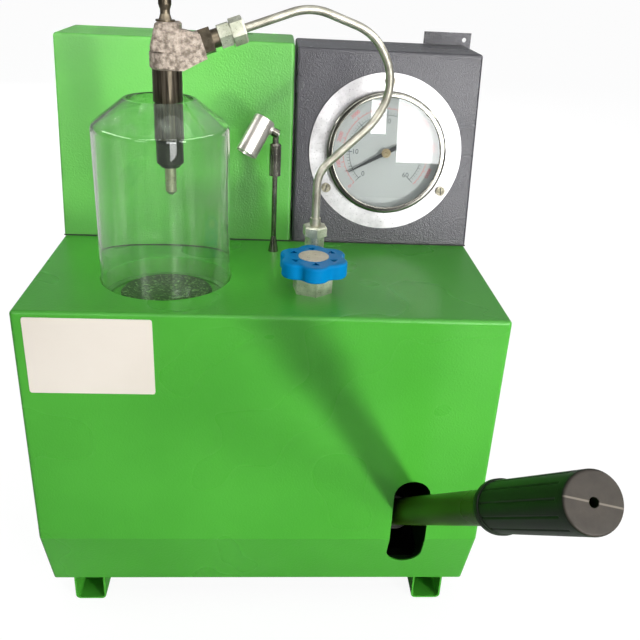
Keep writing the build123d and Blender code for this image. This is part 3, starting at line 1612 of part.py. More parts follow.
# Pointer with its hub and arbor, turned to its place between zero and ten
pointer_low = 3.2
pointer_thickness = 0.8
pointer_reach = 35.5
pointer_tail = 11.0
pointer_root = 1.7
pointer_point = 0.35
pointer_turn = 208.6
hub_radius = 3.4
hub_top = 5.4
arbor_depth_share = 0.3
arbor_depth = arbor_depth_share * case_depth
with BuildPart() as gauge_pointer:
    with BuildSketch(gauge_plane.offset(pointer_low)):
        with BuildLine():
            blade = [
                (-pointer_tail, -pointer_root),
                (0, -pointer_root),
                (pointer_reach, -pointer_point),
                (pointer_reach, pointer_point),
                (0, pointer_root),
                (-pointer_tail, pointer_root),
            ]
            Polyline(*[Vector(*spot).rotate(Axis.Z, pointer_turn) for spot in blade], close=True)
        make_face()
        Circle(hub_radius)
    extrude(amount=pointer_thickness)
    with BuildSketch(gauge_plane.offset(pointer_low)):
        Circle(hub_radius)
    extrude(amount=hub_top - pointer_low)
    with BuildSketch(gauge_plane.offset(pointer_low)):
        Circle(arbor_diameter / 2)
    extrude(amount=-(pointer_low + arbor_depth))
gauge_pointer.part.label = "gauge_pointer"
export_step(gauge_pointer.part, "parts/gauge_pointer.step")

# Bourdon tube: flattened tube bent round inside the case, standing on the socket
bourdon_radius = 33.0
bourdon_width = 12.0
bourdon_thickness = 4.0
bourdon_start = -80.0
bourdon_sweep = 250.0
bourdon_depth_share = 0.6
bourdon_depth = -bourdon_depth_share * case_depth
with BuildPart() as bourdon_tube:
    bourdon_plane = gauge_plane.offset(bourdon_depth)
    with BuildLine(bourdon_plane):
        CenterArc((0, 0), bourdon_radius, bourdon_start, bourdon_sweep)
    begin = math.radians(bourdon_start)
    begin_at = bourdon_plane.from_local_coords(
        (bourdon_radius * math.cos(begin), bourdon_radius * math.sin(begin), 0)
    )
    tangent = bourdon_plane.y_dir * math.cos(begin) - bourdon_plane.x_dir * math.sin(begin)
    with BuildSketch(Plane(origin=begin_at, x_dir=bourdon_plane.z_dir, z_dir=tangent)):
        SlotOverall(bourdon_width, bourdon_thickness)
    sweep()
bourdon_tube.part.label = "bourdon_tube"
export_step(bourdon_tube.part, "parts/bourdon_tube.step")

# Gauge socket: block that holds the tube's foot, its stem down through the case
socket_width = 20.0
socket_height = 10.0
socket_depth_share = 0.45
socket_depth = socket_depth_share * case_depth
with BuildPart() as gauge_socket:
    with BuildSketch(gauge_plane.offset(bourdon_depth - socket_depth / 2)):
        with Locations((0, -(bourdon_radius + bourdon_thickness / 2 + socket_height / 2))):
            Rectangle(socket_width, socket_height)
    extrude(amount=socket_depth)
    with BuildSketch(stem_plane):
        Circle(gauge_stem_radius)
    extrude(amount=-(stem_drop + socket_height / 2))
gauge_socket.part.label = "gauge_socket"
export_step(gauge_socket.part, "parts/gauge_socket.step")

# Lamp stand: flared foot, rod, and a threaded tail with its nut under the deck
foot_radius = 4.3
foot_cone_height = 13.5
rod_radius = 2.1
rod_below_knuckle = 29.0
tail_length = 12.0
rod_top = knuckle_height - rod_below_knuckle
tail_bottom = cabinet_top - tail_length
tail_nut_radius = 5.5
tail_nut_height = 5.0
with BuildPart() as lamp_stand:
    add(turned(upright_plane(lamp_x, lamp_y), [
        (0, tail_bottom),
        (lamp_hole / 2, tail_bottom),
        (lamp_hole / 2, deck_under - tail_nut_height),
        (tail_nut_radius, deck_under - tail_nut_height),
        (tail_nut_radius, deck_under),
        (lamp_hole / 2, deck_under),
        (lamp_hole / 2, cabinet_top),
        (foot_radius, cabinet_top),
        (rod_radius, cabinet_top + foot_cone_height),
        (rod_radius, rod_top),
        (0, rod_top),
    ]))
lamp_stand.part.label = "lamp_stand"
export_step(lamp_stand.part, "parts/lamp_stand.step")

# Lamp aim: the head points down to the left and forward, its pin stands across
aim_turn = 217.5
aim_dip = 54.7
aim_flat = math.cos(math.radians(aim_dip))
lamp_aim = Vector(
    aim_flat * math.cos(math.radians(aim_turn)),
    aim_flat * math.sin(math.radians(aim_turn)),
    -math.sin(math.radians(aim_dip)),
)
leftwards = Vector(-1, 0, 0)
pin_dir = (leftwards - lamp_aim * leftwards.dot(lamp_aim)).normalized()
knuckle_plane = Plane(origin=(lamp_x, lamp_y, knuckle_height), x_dir=lamp_aim, z_dir=pin_dir)
head_offset = 12.7
head_radius = 8.7
head_back = 5.6
head_front = 25.5
knuckle_radius = 3.6
knuckle_half = 2.4
pin_radius = 1.3

# Lamp sleeve: turns on the rod; a neck on top ends in the knuckle
sleeve_radius = 4.7
sleeve_length = 26.0
neck_length = 8.0
sleeve_top = knuckle_height - neck_length
sleeve_bottom = sleeve_top - sleeve_length
neck_radius = 2.4
with BuildPart() as lamp_sleeve:
    add(turned(upright_plane(lamp_x, lamp_y), [
        (rod_radius + running_gap, sleeve_bottom),
        (sleeve_radius, sleeve_bottom),
        (sleeve_radius, sleeve_top - sheet),
        (sleeve_radius - sheet, sleeve_top),
        (neck_radius, sleeve_top),
        (neck_radius, knuckle_height),
        (0, knuckle_height),
        (0, rod_top + fit_gap),
        (rod_radius + running_gap, rod_top + fit_gap),
    ]))
    with BuildSketch(knuckle_plane):
        Circle(knuckle_radius)
    extrude(amount=knuckle_half, both=True)
    with BuildSketch(knuckle_plane):
        Circle(pin_radius + running_gap)
    extrude(amount=head_offset, both=True, mode=Mode.SUBTRACT)
lamp_sleeve.part.label = "lamp_sleeve"
export_step(lamp_sleeve.part, "parts/lamp_sleeve.step")

# Lamp head: turned aluminium can with a boss and pin on its side
head_wall = 1.2
head_cavity = 6.0
pin_length = 3.2
lens_sink = 0.8
lens_thickness = 1.6
head_axis_origin = knuckle_plane.from_local_coords((0, 0, head_offset))
head_plane = Plane(origin=head_axis_origin, x_dir=pin_dir, z_dir=lamp_aim)
with BuildPart() as lamp_head:
    with BuildSketch(head_plane.offset(-head_back)):
        Circle(head_radius)
    extrude(amount=head_back + head_front)
    chamfer(edges().group_by(Axis(head_axis_origin, lamp_aim))[0], length=head_wall / 2)
    with BuildSketch(knuckle_plane.offset(knuckle_half + fit_gap)):
        Circle(knuckle_radius)
    extrude(amount=head_offset - head_radius)
    with BuildSketch(knuckle_plane.offset(-pin_length)):
        Circle(pin_radius)
    extrude(amount=head_offset - head_radius + pin_length)
    with BuildSketch(head_plane.offset(head_front + cut_over)):
        Circle(head_radius - head_wall)
    extrude(amount=-(head_cavity + cut_over), mode=Mode.SUBTRACT)
lamp_head.part.label = "lamp_head"
export_step(lamp_head.part, "parts/lamp_head.step")

with BuildPart() as lamp_lens:
    with BuildSketch(head_plane.offset(head_front - lens_sink)):
        Circle(head_radius - head_wall)
    extrude(amount=-lens_thickness)
lamp_lens.part.label = "lamp_lens"
export_step(lamp_lens.part, "parts/lamp_lens.step")
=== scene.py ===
import math

import bmesh
import bpy
import numpy as np
from mathutils import Matrix, Vector


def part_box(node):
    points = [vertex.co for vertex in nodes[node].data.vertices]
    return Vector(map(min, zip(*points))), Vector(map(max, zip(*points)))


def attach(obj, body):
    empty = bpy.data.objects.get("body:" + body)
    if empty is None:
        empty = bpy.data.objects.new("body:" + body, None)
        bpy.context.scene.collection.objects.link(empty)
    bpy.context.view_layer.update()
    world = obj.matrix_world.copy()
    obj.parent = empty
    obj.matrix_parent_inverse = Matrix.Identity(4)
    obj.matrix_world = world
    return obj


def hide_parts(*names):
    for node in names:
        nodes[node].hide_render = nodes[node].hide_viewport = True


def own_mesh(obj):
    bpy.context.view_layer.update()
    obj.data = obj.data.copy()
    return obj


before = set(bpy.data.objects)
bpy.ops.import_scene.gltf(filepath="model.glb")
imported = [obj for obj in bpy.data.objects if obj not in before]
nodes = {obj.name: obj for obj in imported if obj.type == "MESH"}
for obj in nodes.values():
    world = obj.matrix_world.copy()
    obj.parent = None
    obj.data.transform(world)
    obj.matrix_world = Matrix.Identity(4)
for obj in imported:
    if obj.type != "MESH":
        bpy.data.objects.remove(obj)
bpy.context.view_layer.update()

scene = bpy.context.scene
scene.view_settings.view_transform = "Standard"


# Camera: a phone held about sixty centimetres in front of the tester and a little above it,
# tipped down at the deck and turned a few degrees, with a slight roll.
camera_place = Vector((0.00159, -0.61180, 0.51016))
camera_turn = math.radians(4.234)
camera_dip = math.radians(25.260)
camera_roll = math.radians(3.014)
camera_lens = 43.521
camera_sensor = 36.0
camera_data = bpy.data.cameras.new("camera")
camera_data.lens = camera_lens
camera_data.sensor_width = camera_sensor
camera_data.clip_start = 0.01
camera = bpy.data.objects.new("camera", camera_data)
scene.collection.objects.link(camera)
camera.matrix_world = (
    Matrix.Translation(camera_place)
    @ Matrix.Rotation(-camera_turn, 4, "Z")
    @ Matrix.Rotation(math.pi / 2 - camera_dip, 4, "X")
    @ Matrix.Rotation(camera_roll, 4, "Z")
)
scene.camera = camera


# Floor and room: a wide pale floor under a pale room. The room is plain white to the camera. To
# metal and glass it is grey, brighter upwards and towards the windows at the right and behind.
def linear(code):
    """A colour written as an sRGB hex value, turned into linear red, green, blue and alpha."""
    parts = [int(code[i : i + 2], 16) / 255.0 for i in (1, 3, 5)]
    return tuple(c / 12.92 if c <= 0.04045 else ((c + 0.055) / 1.055) ** 2.4 for c in parts) + (1.0,)


def add(tree, kind, inputs=None, **settings):
    """Adds one node. settings are its properties; inputs gives each socket a value or a link. On a
    colour Mix node, inputs 6 and 7 are its two colours and output 2 is the mixed one."""
    node = tree.nodes.new(kind)
    for key, value in settings.items():
        setattr(node, key, value)
    for socket, value in (inputs or {}).items():
        if isinstance(value, bpy.types.NodeSocket):
            tree.links.new(value, node.inputs[socket])
        else:
            node.inputs[socket].default_value = value
    return node


def blank(name):
    """A new material with an empty node tree."""
    material = bpy.data.materials.new(name)
    material.use_nodes = True
    material.node_tree.nodes.clear()
    return material


def close(tree, **sockets):
    """Ends a material: a Principled shader with these sockets (spaces as _), joined to the output."""
    shader = add(
        tree, "ShaderNodeBsdfPrincipled",
        {socket.replace("_", " "): value for socket, value in sockets.items()},
    )
    add(tree, "ShaderNodeOutputMaterial", {"Surface": shader.outputs[0]})


room_dark, room_grey, room_pale = "#5c5d5f", "#a5a7a9", "#f7f9fb"
room_grey_at = 0.42
room_foot, room_top = -0.25, 0.75
window_side = (0.8, 0.5, 0.0)
far_from_windows, near_windows = -0.6, 0.6
dim_strength, bright_strength = 0.22, 0.80
world = bpy.data.worlds.new("workshop")
scene.world = world
world.use_nodes = True
room = world.node_tree
room.nodes.clear()
path = add(room, "ShaderNodeLightPath")
direction = add(room, "ShaderNodeTexCoord").outputs["Generated"]
height = add(room, "ShaderNodeSeparateXYZ", {"Vector": direction}).outputs["Z"]
rise = add(room, "ShaderNodeMapRange", {"Value": height, "From Min": room_foot, "From Max": room_top})
walls = add(room, "ShaderNodeValToRGB", {0: rise.outputs[0]})
walls.color_ramp.elements[0].color = linear(room_dark)
walls.color_ramp.elements[1].color = linear(room_pale)
middle = walls.color_ramp.elements.new(room_grey_at)
middle.color = linear(room_grey)
windows = add(room, "ShaderNodeVectorMath", {0: direction, 1: window_side}, operation="DOT_PRODUCT")
daylight = add(
    room, "ShaderNodeMapRange",
    {"Value": windows.outputs["Value"], "From Min": far_from_windows, "From Max": near_windows,
     "To Min": dim_strength, "To Max": bright_strength},
)
ambient = add(room, "ShaderNodeBackground", {"Color": walls.outputs[0], "Strength": daylight.outputs[0]})
white = add(room, "ShaderNodeBackground", {"Color": linear("#ffffff"), "Strength": 1.0})
seen = add(
    room, "ShaderNodeMixShader",
    {0: path.outputs["Is Camera Ray"], 1: ambient.outputs[0], 2: white.outputs[0]},
)
add(room, "ShaderNodeOutputWorld", {"Surface": seen.outputs[0]})

floor_half = 16.0
floor_grey = "#b4b4b4"
floor_glow = 1.22
floor_glow_share = 0.76
floor_mesh = bpy.data.meshes.new("floor")
floor_corners = np.array([(-1, -1, 0), (1, -1, 0), (1, 1, 0), (-1, 1, 0)]) * floor_half
floor_mesh.from_pydata(floor_corners.tolist(), [], [(0, 1, 2, 3)])
floor = bpy.data.objects.new("floor", floor_mesh)
scene.collection.objects.link(floor)
# Pale painted floor: nearly white to the camera, with the tester's soft shadow still on it.
pale_floor = blank("pale painted floor")
tree = pale_floor.node_tree
path = add(tree, "ShaderNodeLightPath")
paint = add(tree, "ShaderNodeBsdfDiffuse", {"Color": linear(floor_grey)})
lit = add(tree, "ShaderNodeEmission", {"Color": linear("#ffffff"), "Strength": floor_glow})
shown = add(
    tree, "ShaderNodeMath", {0: path.outputs["Is Camera Ray"], 1: floor_glow_share}, operation="MULTIPLY",
)
mixed = add(tree, "ShaderNodeMixShader", {0: shown.outputs[0], 1: paint.outputs[0], 2: lit.outputs[0]})
add(tree, "ShaderNodeOutputMaterial", {"Surface": mixed.outputs[0]})
floor_mesh.materials.append(pale_floor)


# Lamps: a broad ceiling panel above the front and two windows at the right, which throw the lever's
# two soft shadows up the cabinet. Weaker ones light the left side, the back and the injector. The
# last ones light nothing: they are the window panes and strips that glass and metal mirror.
def panel(name, place, aim, width, tall, power, lights=True, mirrored=True):
    """A rectangular lamp at place that faces the point aim, width by tall, of this power in watts.
    lights says that it lights paint, and mirrored that gloss and glass show it."""
    data = bpy.data.lights.new(name, "AREA")
    data.shape = "RECTANGLE"
    data.size, data.size_y, data.energy = width, tall, power
    lamp = bpy.data.objects.new(name, data)
    scene.collection.objects.link(lamp)
    facing = (Vector(aim) - Vector(place)).to_track_quat("-Z", "Y").to_matrix().to_4x4()
    lamp.matrix_world = Matrix.Translation(place) @ facing
    lamp.visible_camera = False
    lamp.visible_transmission = False
    lamp.visible_diffuse = lights
    lamp.visible_glossy = mirrored
    return lamp


panel("ceiling", (0.35, -0.55, 2.1), (0.05, 0.0, 0.25), 1.8, 1.4, 8.0)
panel("low_window", (0.727, -1.05, 0.142), (0.12, -0.12, 0.16), 0.12, 0.13, 12.0, mirrored=False)
panel("high_window", (1.17, -1.40, 0.68), (0.12, -0.12, 0.20), 0.34, 0.34, 8.5)
panel("left_window", (-1.1, -2.3, 0.85), (-0.1, 0.0, 0.35), 0.8, 0.7, 7.0)
panel("rear_window", (-0.5, 2.4, 1.0), (0.0, 0.1, 0.25), 1.2, 0.9, 30.0, mirrored=False)
panel("side_window", (-2.2, 0.9, 0.9), (0.0, 0.1, 0.25), 0.9, 0.8, 14.0, mirrored=False)
left_lamp = panel("left_lamp", (-0.50, -0.60, 0.85), (-0.13, 0.08, 0.52), 0.25, 0.25, 0.42, mirrored=False)
left_lamp.data.spread = math.radians(30.0)
panel("pane", (0.615, -1.6, 0.619), (0.615, 0.0, 0.619), 0.50, 0.45, 10.0, lights=False)
panel("pane_side", (0.309, -1.6, 0.521), (0.309, 0.0, 0.521), 0.046, 0.095, 0.2, lights=False)
panel("doorway", (0.645, -1.5, 0.33), (0.645, 0.0, 0.33), 0.33, 0.45, 5.5, lights=False)
for place in ((0.2, -1.6, 1.6), (-1.9, -0.4, 1.6), (2.0, -0.4, 1.6)):
    panel("strip_light", place, (0.0, 0.0, 0.40), 2.6, 0.30, 22.0, lights=False)


# Pressed steel cabinet: one folded sheet with its foot rails and a base plate, all sprayed and
# baked in a glossy green enamel that keeps a fine orange-peel skin.
mm = 0.001
tone_clouds_per_metre = 9.0
wiped_patches_per_metre = 14.0
wiped_dulling = 0.12


def coating(name, colour, shade, grain, depth, gloss, index=1.5):
    """Paint, plastic or ink: colour drifts to shade in clouds a hand's breadth across, and the skin
    has peaks grain metres apart and depth metres high. Its roughness is gloss, or a little more
    where hands have wiped it."""
    material = blank(name)
    tree = material.node_tree
    place = add(tree, "ShaderNodeTexCoord").outputs["Object"]
    clouds = add(tree, "ShaderNodeTexNoise", {"Vector": place, "Scale": tone_clouds_per_metre, "Detail": 3.0})
    drift = add(
        tree, "ShaderNodeMapRange", {"Value": clouds.outputs[0], "From Min": 0.2, "From Max": 0.8},
        interpolation_type="SMOOTHSTEP",
    )
    tone = add(
        tree, "ShaderNodeMix", {0: drift.outputs[0], 6: linear(colour), 7: linear(shade)}, data_type="RGBA",
    )
    peel = add(
        tree, "ShaderNodeTexNoise", {"Vector": place, "Scale": 1.0 / grain, "Detail": 2.0, "Roughness": 0.55},
    )
    skin = add(tree, "ShaderNodeBump", {"Height": peel.outputs[0], "Strength": 1.0, "Distance": depth})
    wiped = add(
        tree, "ShaderNodeTexNoise", {"Vector": place, "Scale": wiped_patches_per_metre, "Detail": 1.0},
    )
    rough = add(
        tree, "ShaderNodeMapRange",
        {"Value": wiped.outputs[0], "From Min": 0.2, "From Max": 0.8, "To Min": gloss,
         "To Max": gloss + wiped_dulling},
        interpolation_type="SMOOTHSTEP",
    )
    close(tree, Base_Color=tone.outputs[2], Roughness=rough.outputs[0], Normal=skin.outputs[0], IOR=index)
    return material


def dress(material, *names):
    """Gives these CAD nodes this one material."""
    for name in names:
        mesh = nodes[name].data
        mesh.materials.clear()
        mesh.materials.append(material)


# Baked enamel: an even fresh green with soft lights that its fine peel breaks up.
green_enamel = coating("baked green enamel", "#4aa634", "#419a2c", 1.6 * mm, 0.16 * mm, 0.24, 1.4)
dress(green_enamel, "cabinet_shell", "foot_rails")
# The same enamel in one thin coat on the base plate: duller, and darker as painted shade inside the
# cabinet.
shaded_inner_enamel = coating("thin green enamel inside", "#3f7d30", "#376f2a", 1.6 * mm, 0.06 * mm, 0.45)
dress(shaded_inner_enamel, "base_plate")


# Name plate: a plain cream plastic sheet with rounded corners, stuck on the cabinet's front near
# its left edge. It is left bare.
weld_distance = 2e-7
sharp_edge = math.radians(32.0)


def surface(name, grid, loop=False):
    """A piece from a grid of points: each row is a closed ring, and loop joins the last row to the
    first. Points that meet are welded, and edges that turn by more than sharp_edge stay sharp."""
    rows, columns = grid.shape[:2]
    index = np.arange(rows * columns).reshape(rows, columns)
    low = index if loop else index[:-1]
    high = np.roll(index, -1, axis=0) if loop else index[1:]
    faces = np.stack([low, np.roll(low, -1, 1), np.roll(high, -1, 1), high], axis=-1).reshape(-1, 4)
    mesh = bpy.data.meshes.new(name)
    mesh.from_pydata(grid.reshape(-1, 3).tolist(), [], faces.tolist())
    shell = bmesh.new()
    shell.from_mesh(mesh)
    bmesh.ops.remove_doubles(shell, verts=shell.verts, dist=weld_distance)
    bmesh.ops.recalc_face_normals(shell, faces=shell.faces)
    shell.to_mesh(mesh)
    shell.free()
    mesh.shade_smooth()
    mesh.set_sharp_from_angle(angle=sharp_edge)
    piece = bpy.data.objects.new(name, mesh)
    scene.collection.objects.link(piece)
    return piece


def rounded_sheet(name, low, high, corner, front, thickness):
    """A sheet in a plane of constant y: each corner of its rectangle is a quarter circle, and the
    rings run from the middle of its back over its edge to the middle of its front."""
    inward_x = np.array((-1, 1, 1, -1))
    inward_z = np.array((-1, -1, 1, 1))
    centre_x = np.array((high[0], low[0], low[0], high[0])) + corner * inward_x
    centre_z = np.array((high[1], high[1], low[1], low[1])) + corner * inward_z
    swing = np.linspace(0.0, math.pi / 2, 9) + np.arange(4)[:, None] * math.pi / 2
    ring_x = (centre_x[:, None] + corner * np.cos(swing)).ravel()
    ring_z = (centre_z[:, None] + corner * np.sin(swing)).ravel()
    middle_x = np.full_like(ring_x, ring_x.mean())
    middle_z = np.full_like(ring_z, ring_z.mean())
    back = np.full_like(ring_x, front + thickness)
    face = np.full_like(ring_x, front)
    grid = np.array([
        np.column_stack([middle_x, back, middle_z]), np.column_stack([ring_x, back, ring_z]),
        np.column_stack([ring_x, face, ring_z]), np.column_stack([middle_x, face, middle_z]),
    ])
    return surface(name, grid)


label_low = (-167.0 * mm, 217.8 * mm)
label_high = (-78.4 * mm, 277.2 * mm)
label_corner = 1.8 * mm
label_thickness = 0.25 * mm
cabinet_front = -125.0 * mm
label = rounded_sheet(
    "bare_label", label_low, label_high, label_corner, cabinet_front - label_thickness, label_thickness,
)
# Printed plastic sheet: a warm off-white that takes a faint broad sheen.
label_plastic = coating("cream printed plastic", "#e3dbd0", "#d9d0c4", 1.1 * mm, 0.03 * mm, 0.42)
label.data.materials.append(label_plastic)
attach(label, "cabinet")


# Hoods: two folded steel boxes that lean back behind the deck, with screwed covers, and the rear
# panel below them. The left one has the cabinet's green in a thicker coat, the right one a hammer
# finish.

# Thick baked enamel: a lighter green whose coarser peel makes the lights shimmer.
hood_green = coating("baked green enamel with coarse peel", "#5aab44", "#51a03d", 1.5 * mm, 0.32 * mm, 0.27)
dress(hood_green, "green_hood", "green_hood_cover", "rear_panel")
# Hammer enamel: dark grey with a lively grain that sparkles towards the windows.
hammer_grey = coating("grey hammer enamel", "#434247", "#333237", 1.1 * mm, 0.32 * mm, 0.18)
dress(hammer_grey, "grey_hood", "grey_hood_cover")


# Contact shadow: a thin near-black strip along the foot of both hoods, painted shade where they
# meet the deck.
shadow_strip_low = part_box("green_hood")[0]
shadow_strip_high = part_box("grey_hood")[1]
shadow_strip_height = 1.1 * mm
shadow_strip_proud = 0.5 * mm
shadow_strip_corner = 0.25 * mm
contact_shadow_strip = rounded_sheet(
    "hood_contact_shadow", (shadow_strip_low[0], shadow_strip_low[2]), (shadow_strip_high[0], shadow_strip_low[2] + shadow_strip_height), shadow_strip_corner,
    shadow_strip_low[1] - shadow_strip_proud, shadow_strip_proud,
)
# Painted shadow: a dull near-black line where the hoods meet the deck.
contact_shadow_paint = coating("painted contact shadow strip", "#15190f", "#0f120b", 1.2 * mm, 0.03 * mm, 0.5)
contact_shadow_strip.data.materials.append(contact_shadow_paint)
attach(contact_shadow_strip, "cabinet")


# Hand pump: an iron barrel on a steel bracket, with a ground plunger and tappet that a roller on the
# lever's arm pushes up. The bracket is bolted to the base plate.
def metal(name, light, dark, rough, grain, depth, stretch=(1.0, 1.0, 1.0), metallic=1.0, patch=11.0 * mm):
    """Bare or plated metal: light drifts to dark in clouds of patch metres, with tool marks grain
    metres apart and depth metres high, duller on their peaks. stretch below one draws both out
    along that axis."""
    material = blank(name)
    tree = material.node_tree
    place = add(tree, "ShaderNodeTexCoord").outputs["Object"]
    drawn = add(tree, "ShaderNodeMapping", {"Vector": place, "Scale": stretch}).outputs[0]
    clouds = add(
        tree, "ShaderNodeTexNoise", {"Vector": drawn, "Scale": 1.0 / patch, "Detail": 5.0, "Roughness": 0.6},
    )
    drift = add(
        tree, "ShaderNodeMapRange", {"Value": clouds.outputs[0], "From Min": 0.3, "From Max": 0.7},
        interpolation_type="SMOOTHSTEP",
    )
    tone = add(
        tree, "ShaderNodeMix", {0: drift.outputs[0], 6: linear(light), 7: linear(dark)}, data_type="RGBA",
    )
    marks = add(
        tree, "ShaderNodeTexNoise", {"Vector": drawn, "Scale": 1.0 / grain, "Detail": 3.0, "Roughness": 0.6},
    )
    skin = add(tree, "ShaderNodeBump", {"Height": marks.outputs[0], "Strength": 1.0, "Distance": depth})
    dull = add(
        tree, "ShaderNodeMapRange",
        {"Value": marks.outputs[0], "From Min": 0.25, "From Max": 0.75, "To Min": rough * 0.8,
         "To Max": rough * 1.3},
    )
    close(
        tree, Base_Color=tone.outputs[2], Metallic=metallic, Roughness=dull.outputs[0],
        Normal=skin.outputs[0],
    )
    return material


# Cast iron as it leaves the sand: mid grey, matt and grainy.
pump_cast = metal("cast iron", "#6b6c69", "#565753", 0.55, 1.2 * mm, 0.3 * mm, metallic=0.8)
dress(pump_cast, "pump_barrel")
# Blackened steel: nearly black, with a soft oily shine. On the pump's bracket and the lever's arm it
# is painted shade, so that the cabinet's slot shows dark.
black_oxide_and_shade = metal("blackened steel", "#373733", "#252623", 0.4, 0.9 * mm, 0.04 * mm)
dress(black_oxide_and_shade, "pump_bracket", "lever_arm", "lever_shaft", "tappet_roller", "plunger_spring")
# Ground steel: bright and warm, with a fine clean shine.
ground_steel = metal("ground steel", "#d6ceba", "#b9b19c", 0.28, 0.8 * mm, 0.02 * mm)
dress(ground_steel, "plunger", "tappet", "delivery_valve_holder")


# Plunger spring: seven turns of round wire between the tappet and the roof of the barrel. It
# stays against the roof; on the real pump it is pressed together as the tappet rises, here it keeps
# one length.
spring_low, spring_high = (np.array(corner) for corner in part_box("plunger_spring"))
spring_wire = 0.9 * mm
spring_turns = 7
steps_per_turn = 40
wire_sides = 14
spring_mean = (spring_high[0] - spring_low[0]) / 2 - spring_wire
spring_middle = (spring_low + spring_high) / 2


def wound_wire(name):
    """The spring as a tube along a helix: the wire's middle goes round at radius spring_mean while
    it climbs evenly, and rings of radius spring_wire stand round it. Both ends shrink to a point."""
    swing = np.linspace(0.0, spring_turns * 2 * math.pi, spring_turns * steps_per_turn + 1)
    line = np.column_stack([
        spring_middle[0] + spring_mean * np.cos(swing),
        spring_middle[1] + spring_mean * np.sin(swing),
        np.linspace(spring_low[2] + spring_wire, spring_high[2] - spring_wire, len(swing)),
    ])
    line[0], line[-1] = line[1], line[-2]
    outwards = np.column_stack([np.cos(swing), np.sin(swing), np.zeros(len(swing))])
    upwards = np.array((0.0, 0.0, 1.0))
    around = np.linspace(0.0, 2 * math.pi, wire_sides, endpoint=False)[None, :, None]
    radius = np.full((len(swing), 1, 1), spring_wire)
    radius[[0, -1]] = 0.0
    ring = np.cos(around) * outwards[:, None] + np.sin(around) * upwards
    return surface(name, line[:, None] + radius * ring)


coil = wound_wire("plunger_spring_coil")
coil.data.materials.append(black_oxide_and_shade)
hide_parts("plunger_spring")
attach(coil, "cabinet")
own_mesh(coil)


# Oil tank and mist fan: a soldered zinc box with a strainer and suction pipe, and a zinc duct from
# the spray cup to a moulded fan. Fan and power inlet are screwed into the rear panel.

# Galvanised sheet: bluish grey with broad faint spangles.
tank_zinc = metal("galvanised sheet", "#a7abad", "#8d9295", 0.4, 4.0 * mm, 0.06 * mm)
dress(tank_zinc, "oil_tank", "mist_duct")
dress(ground_steel, "suction_strainer")
# Drawn steel tube: pale and slightly yellow, with one long highlight down its length.
drawn_steel = metal("drawn steel tube", "#bcb9ab", "#9a9789", 0.34, 1.2 * mm, 0.02 * mm, metallic=0.85)
dress(drawn_steel, "suction_pipe")
# Moulded plastic: plain black with a low sheen.
black_plastic = coating("black moulded plastic", "#1b1c1c", "#151616", 1.2 * mm, 0.03 * mm, 0.4)
dress(black_plastic, "fan_frame", "fan_rotor")
# Zinc plate: pale, faintly green and milky, half metal and half white bloom.
zinc = metal("zinc plated steel", "#d3d4c2", "#a6a993", 0.3, 0.9 * mm, 0.02 * mm, metallic=0.62)
dress(zinc, "power_inlet")


# Shut-off valve and pipes: a cast block under the deck with a ground needle and spindle, a plated
# bonnet nut and adapter, and drawn steel pipes bent cold and held by plated union nuts.
dress(pump_cast, "valve_block")
dress(ground_steel, "valve_needle", "valve_spindle")
dress(zinc, "bonnet_nut", "outlet_adapter", "union_nuts", "upper_union_nut")
dress(drawn_steel, "pressure_pipe", "gauge_pipe", "delivery_pipe")


# Hand wheel: five lobes moulded in blue plastic on the spindle, with a flat round badge pressed
# into its middle. The badge is left bare.

# Moulded plastic: a strong clean blue with small soft highlights on its rounded lobes.
blue_plastic = coating("blue moulded plastic", "#007ebd", "#006ba6", 2.2 * mm, 0.04 * mm, 0.1, 1.16)
dress(blue_plastic, "handwheel")
# Lacquered metal: a dull warm silver disc.
badge_metal = metal("pale lacquered disc", "#cfc6b4", "#b6ad9a", 0.3, 2.0 * mm, 0.02 * mm, metallic=0.25)
dress(badge_metal, "wheel_badge")


# Spray cup, gasket and gauze: a spun steel cup hung in the deck hole with a soft ring for the
# jar and a disc of fine wire gauze over its drain, all wet with dark green test oil.

# Oily enamel: the cabinet's green seen through a dark wet film.
cup_enamel = coating("oily green enamel", "#56a23e", "#40812d", 1.4 * mm, 0.1 * mm, 0.4, 1.3)
dress(cup_enamel, "spray_cup")
# Oily rubber: soft and dull, tinted green by the oil.
wet_rubber = coating("oily rubber ring", "#488d34", "#377427", 1.0 * mm, 0.05 * mm, 0.45, 1.35)
dress(wet_rubber, "cup_gasket")
gauze_mesh = 1.3 * mm
gauze_knot = 0.7 * mm
unglinted_share = 0.70
# Wet wire gauze: black-green with scattered bright spots painted on as glints. The mesh is drawn
# coarser than the real one so that it shows.
gauze = blank("oily wire gauze")
tree = gauze.node_tree
place = add(tree, "ShaderNodeTexCoord").outputs["Object"]
wires = add(tree, "ShaderNodeTexVoronoi", {"Vector": place, "Scale": 1.0 / gauze_mesh})
spark = add(tree, "ShaderNodeSeparateColor", {0: wires.outputs["Color"]})
painted_glints = add(tree, "ShaderNodeMapRange", {"Value": spark.outputs[0], "From Min": unglinted_share, "From Max": 1.0})
tone = add(
    tree, "ShaderNodeMix", {0: painted_glints.outputs[0], 6: linear("#12240b"), 7: linear("#7d9d64")},
    data_type="RGBA",
)
skin = add(
    tree, "ShaderNodeBump", {"Height": wires.outputs["Distance"], "Strength": 0.7, "Distance": gauze_knot},
)
close(tree, Base_Color=tone.outputs[2], Roughness=0.42, Normal=skin.outputs[0], IOR=1.35)
dress(gauze, "mesh_disc")


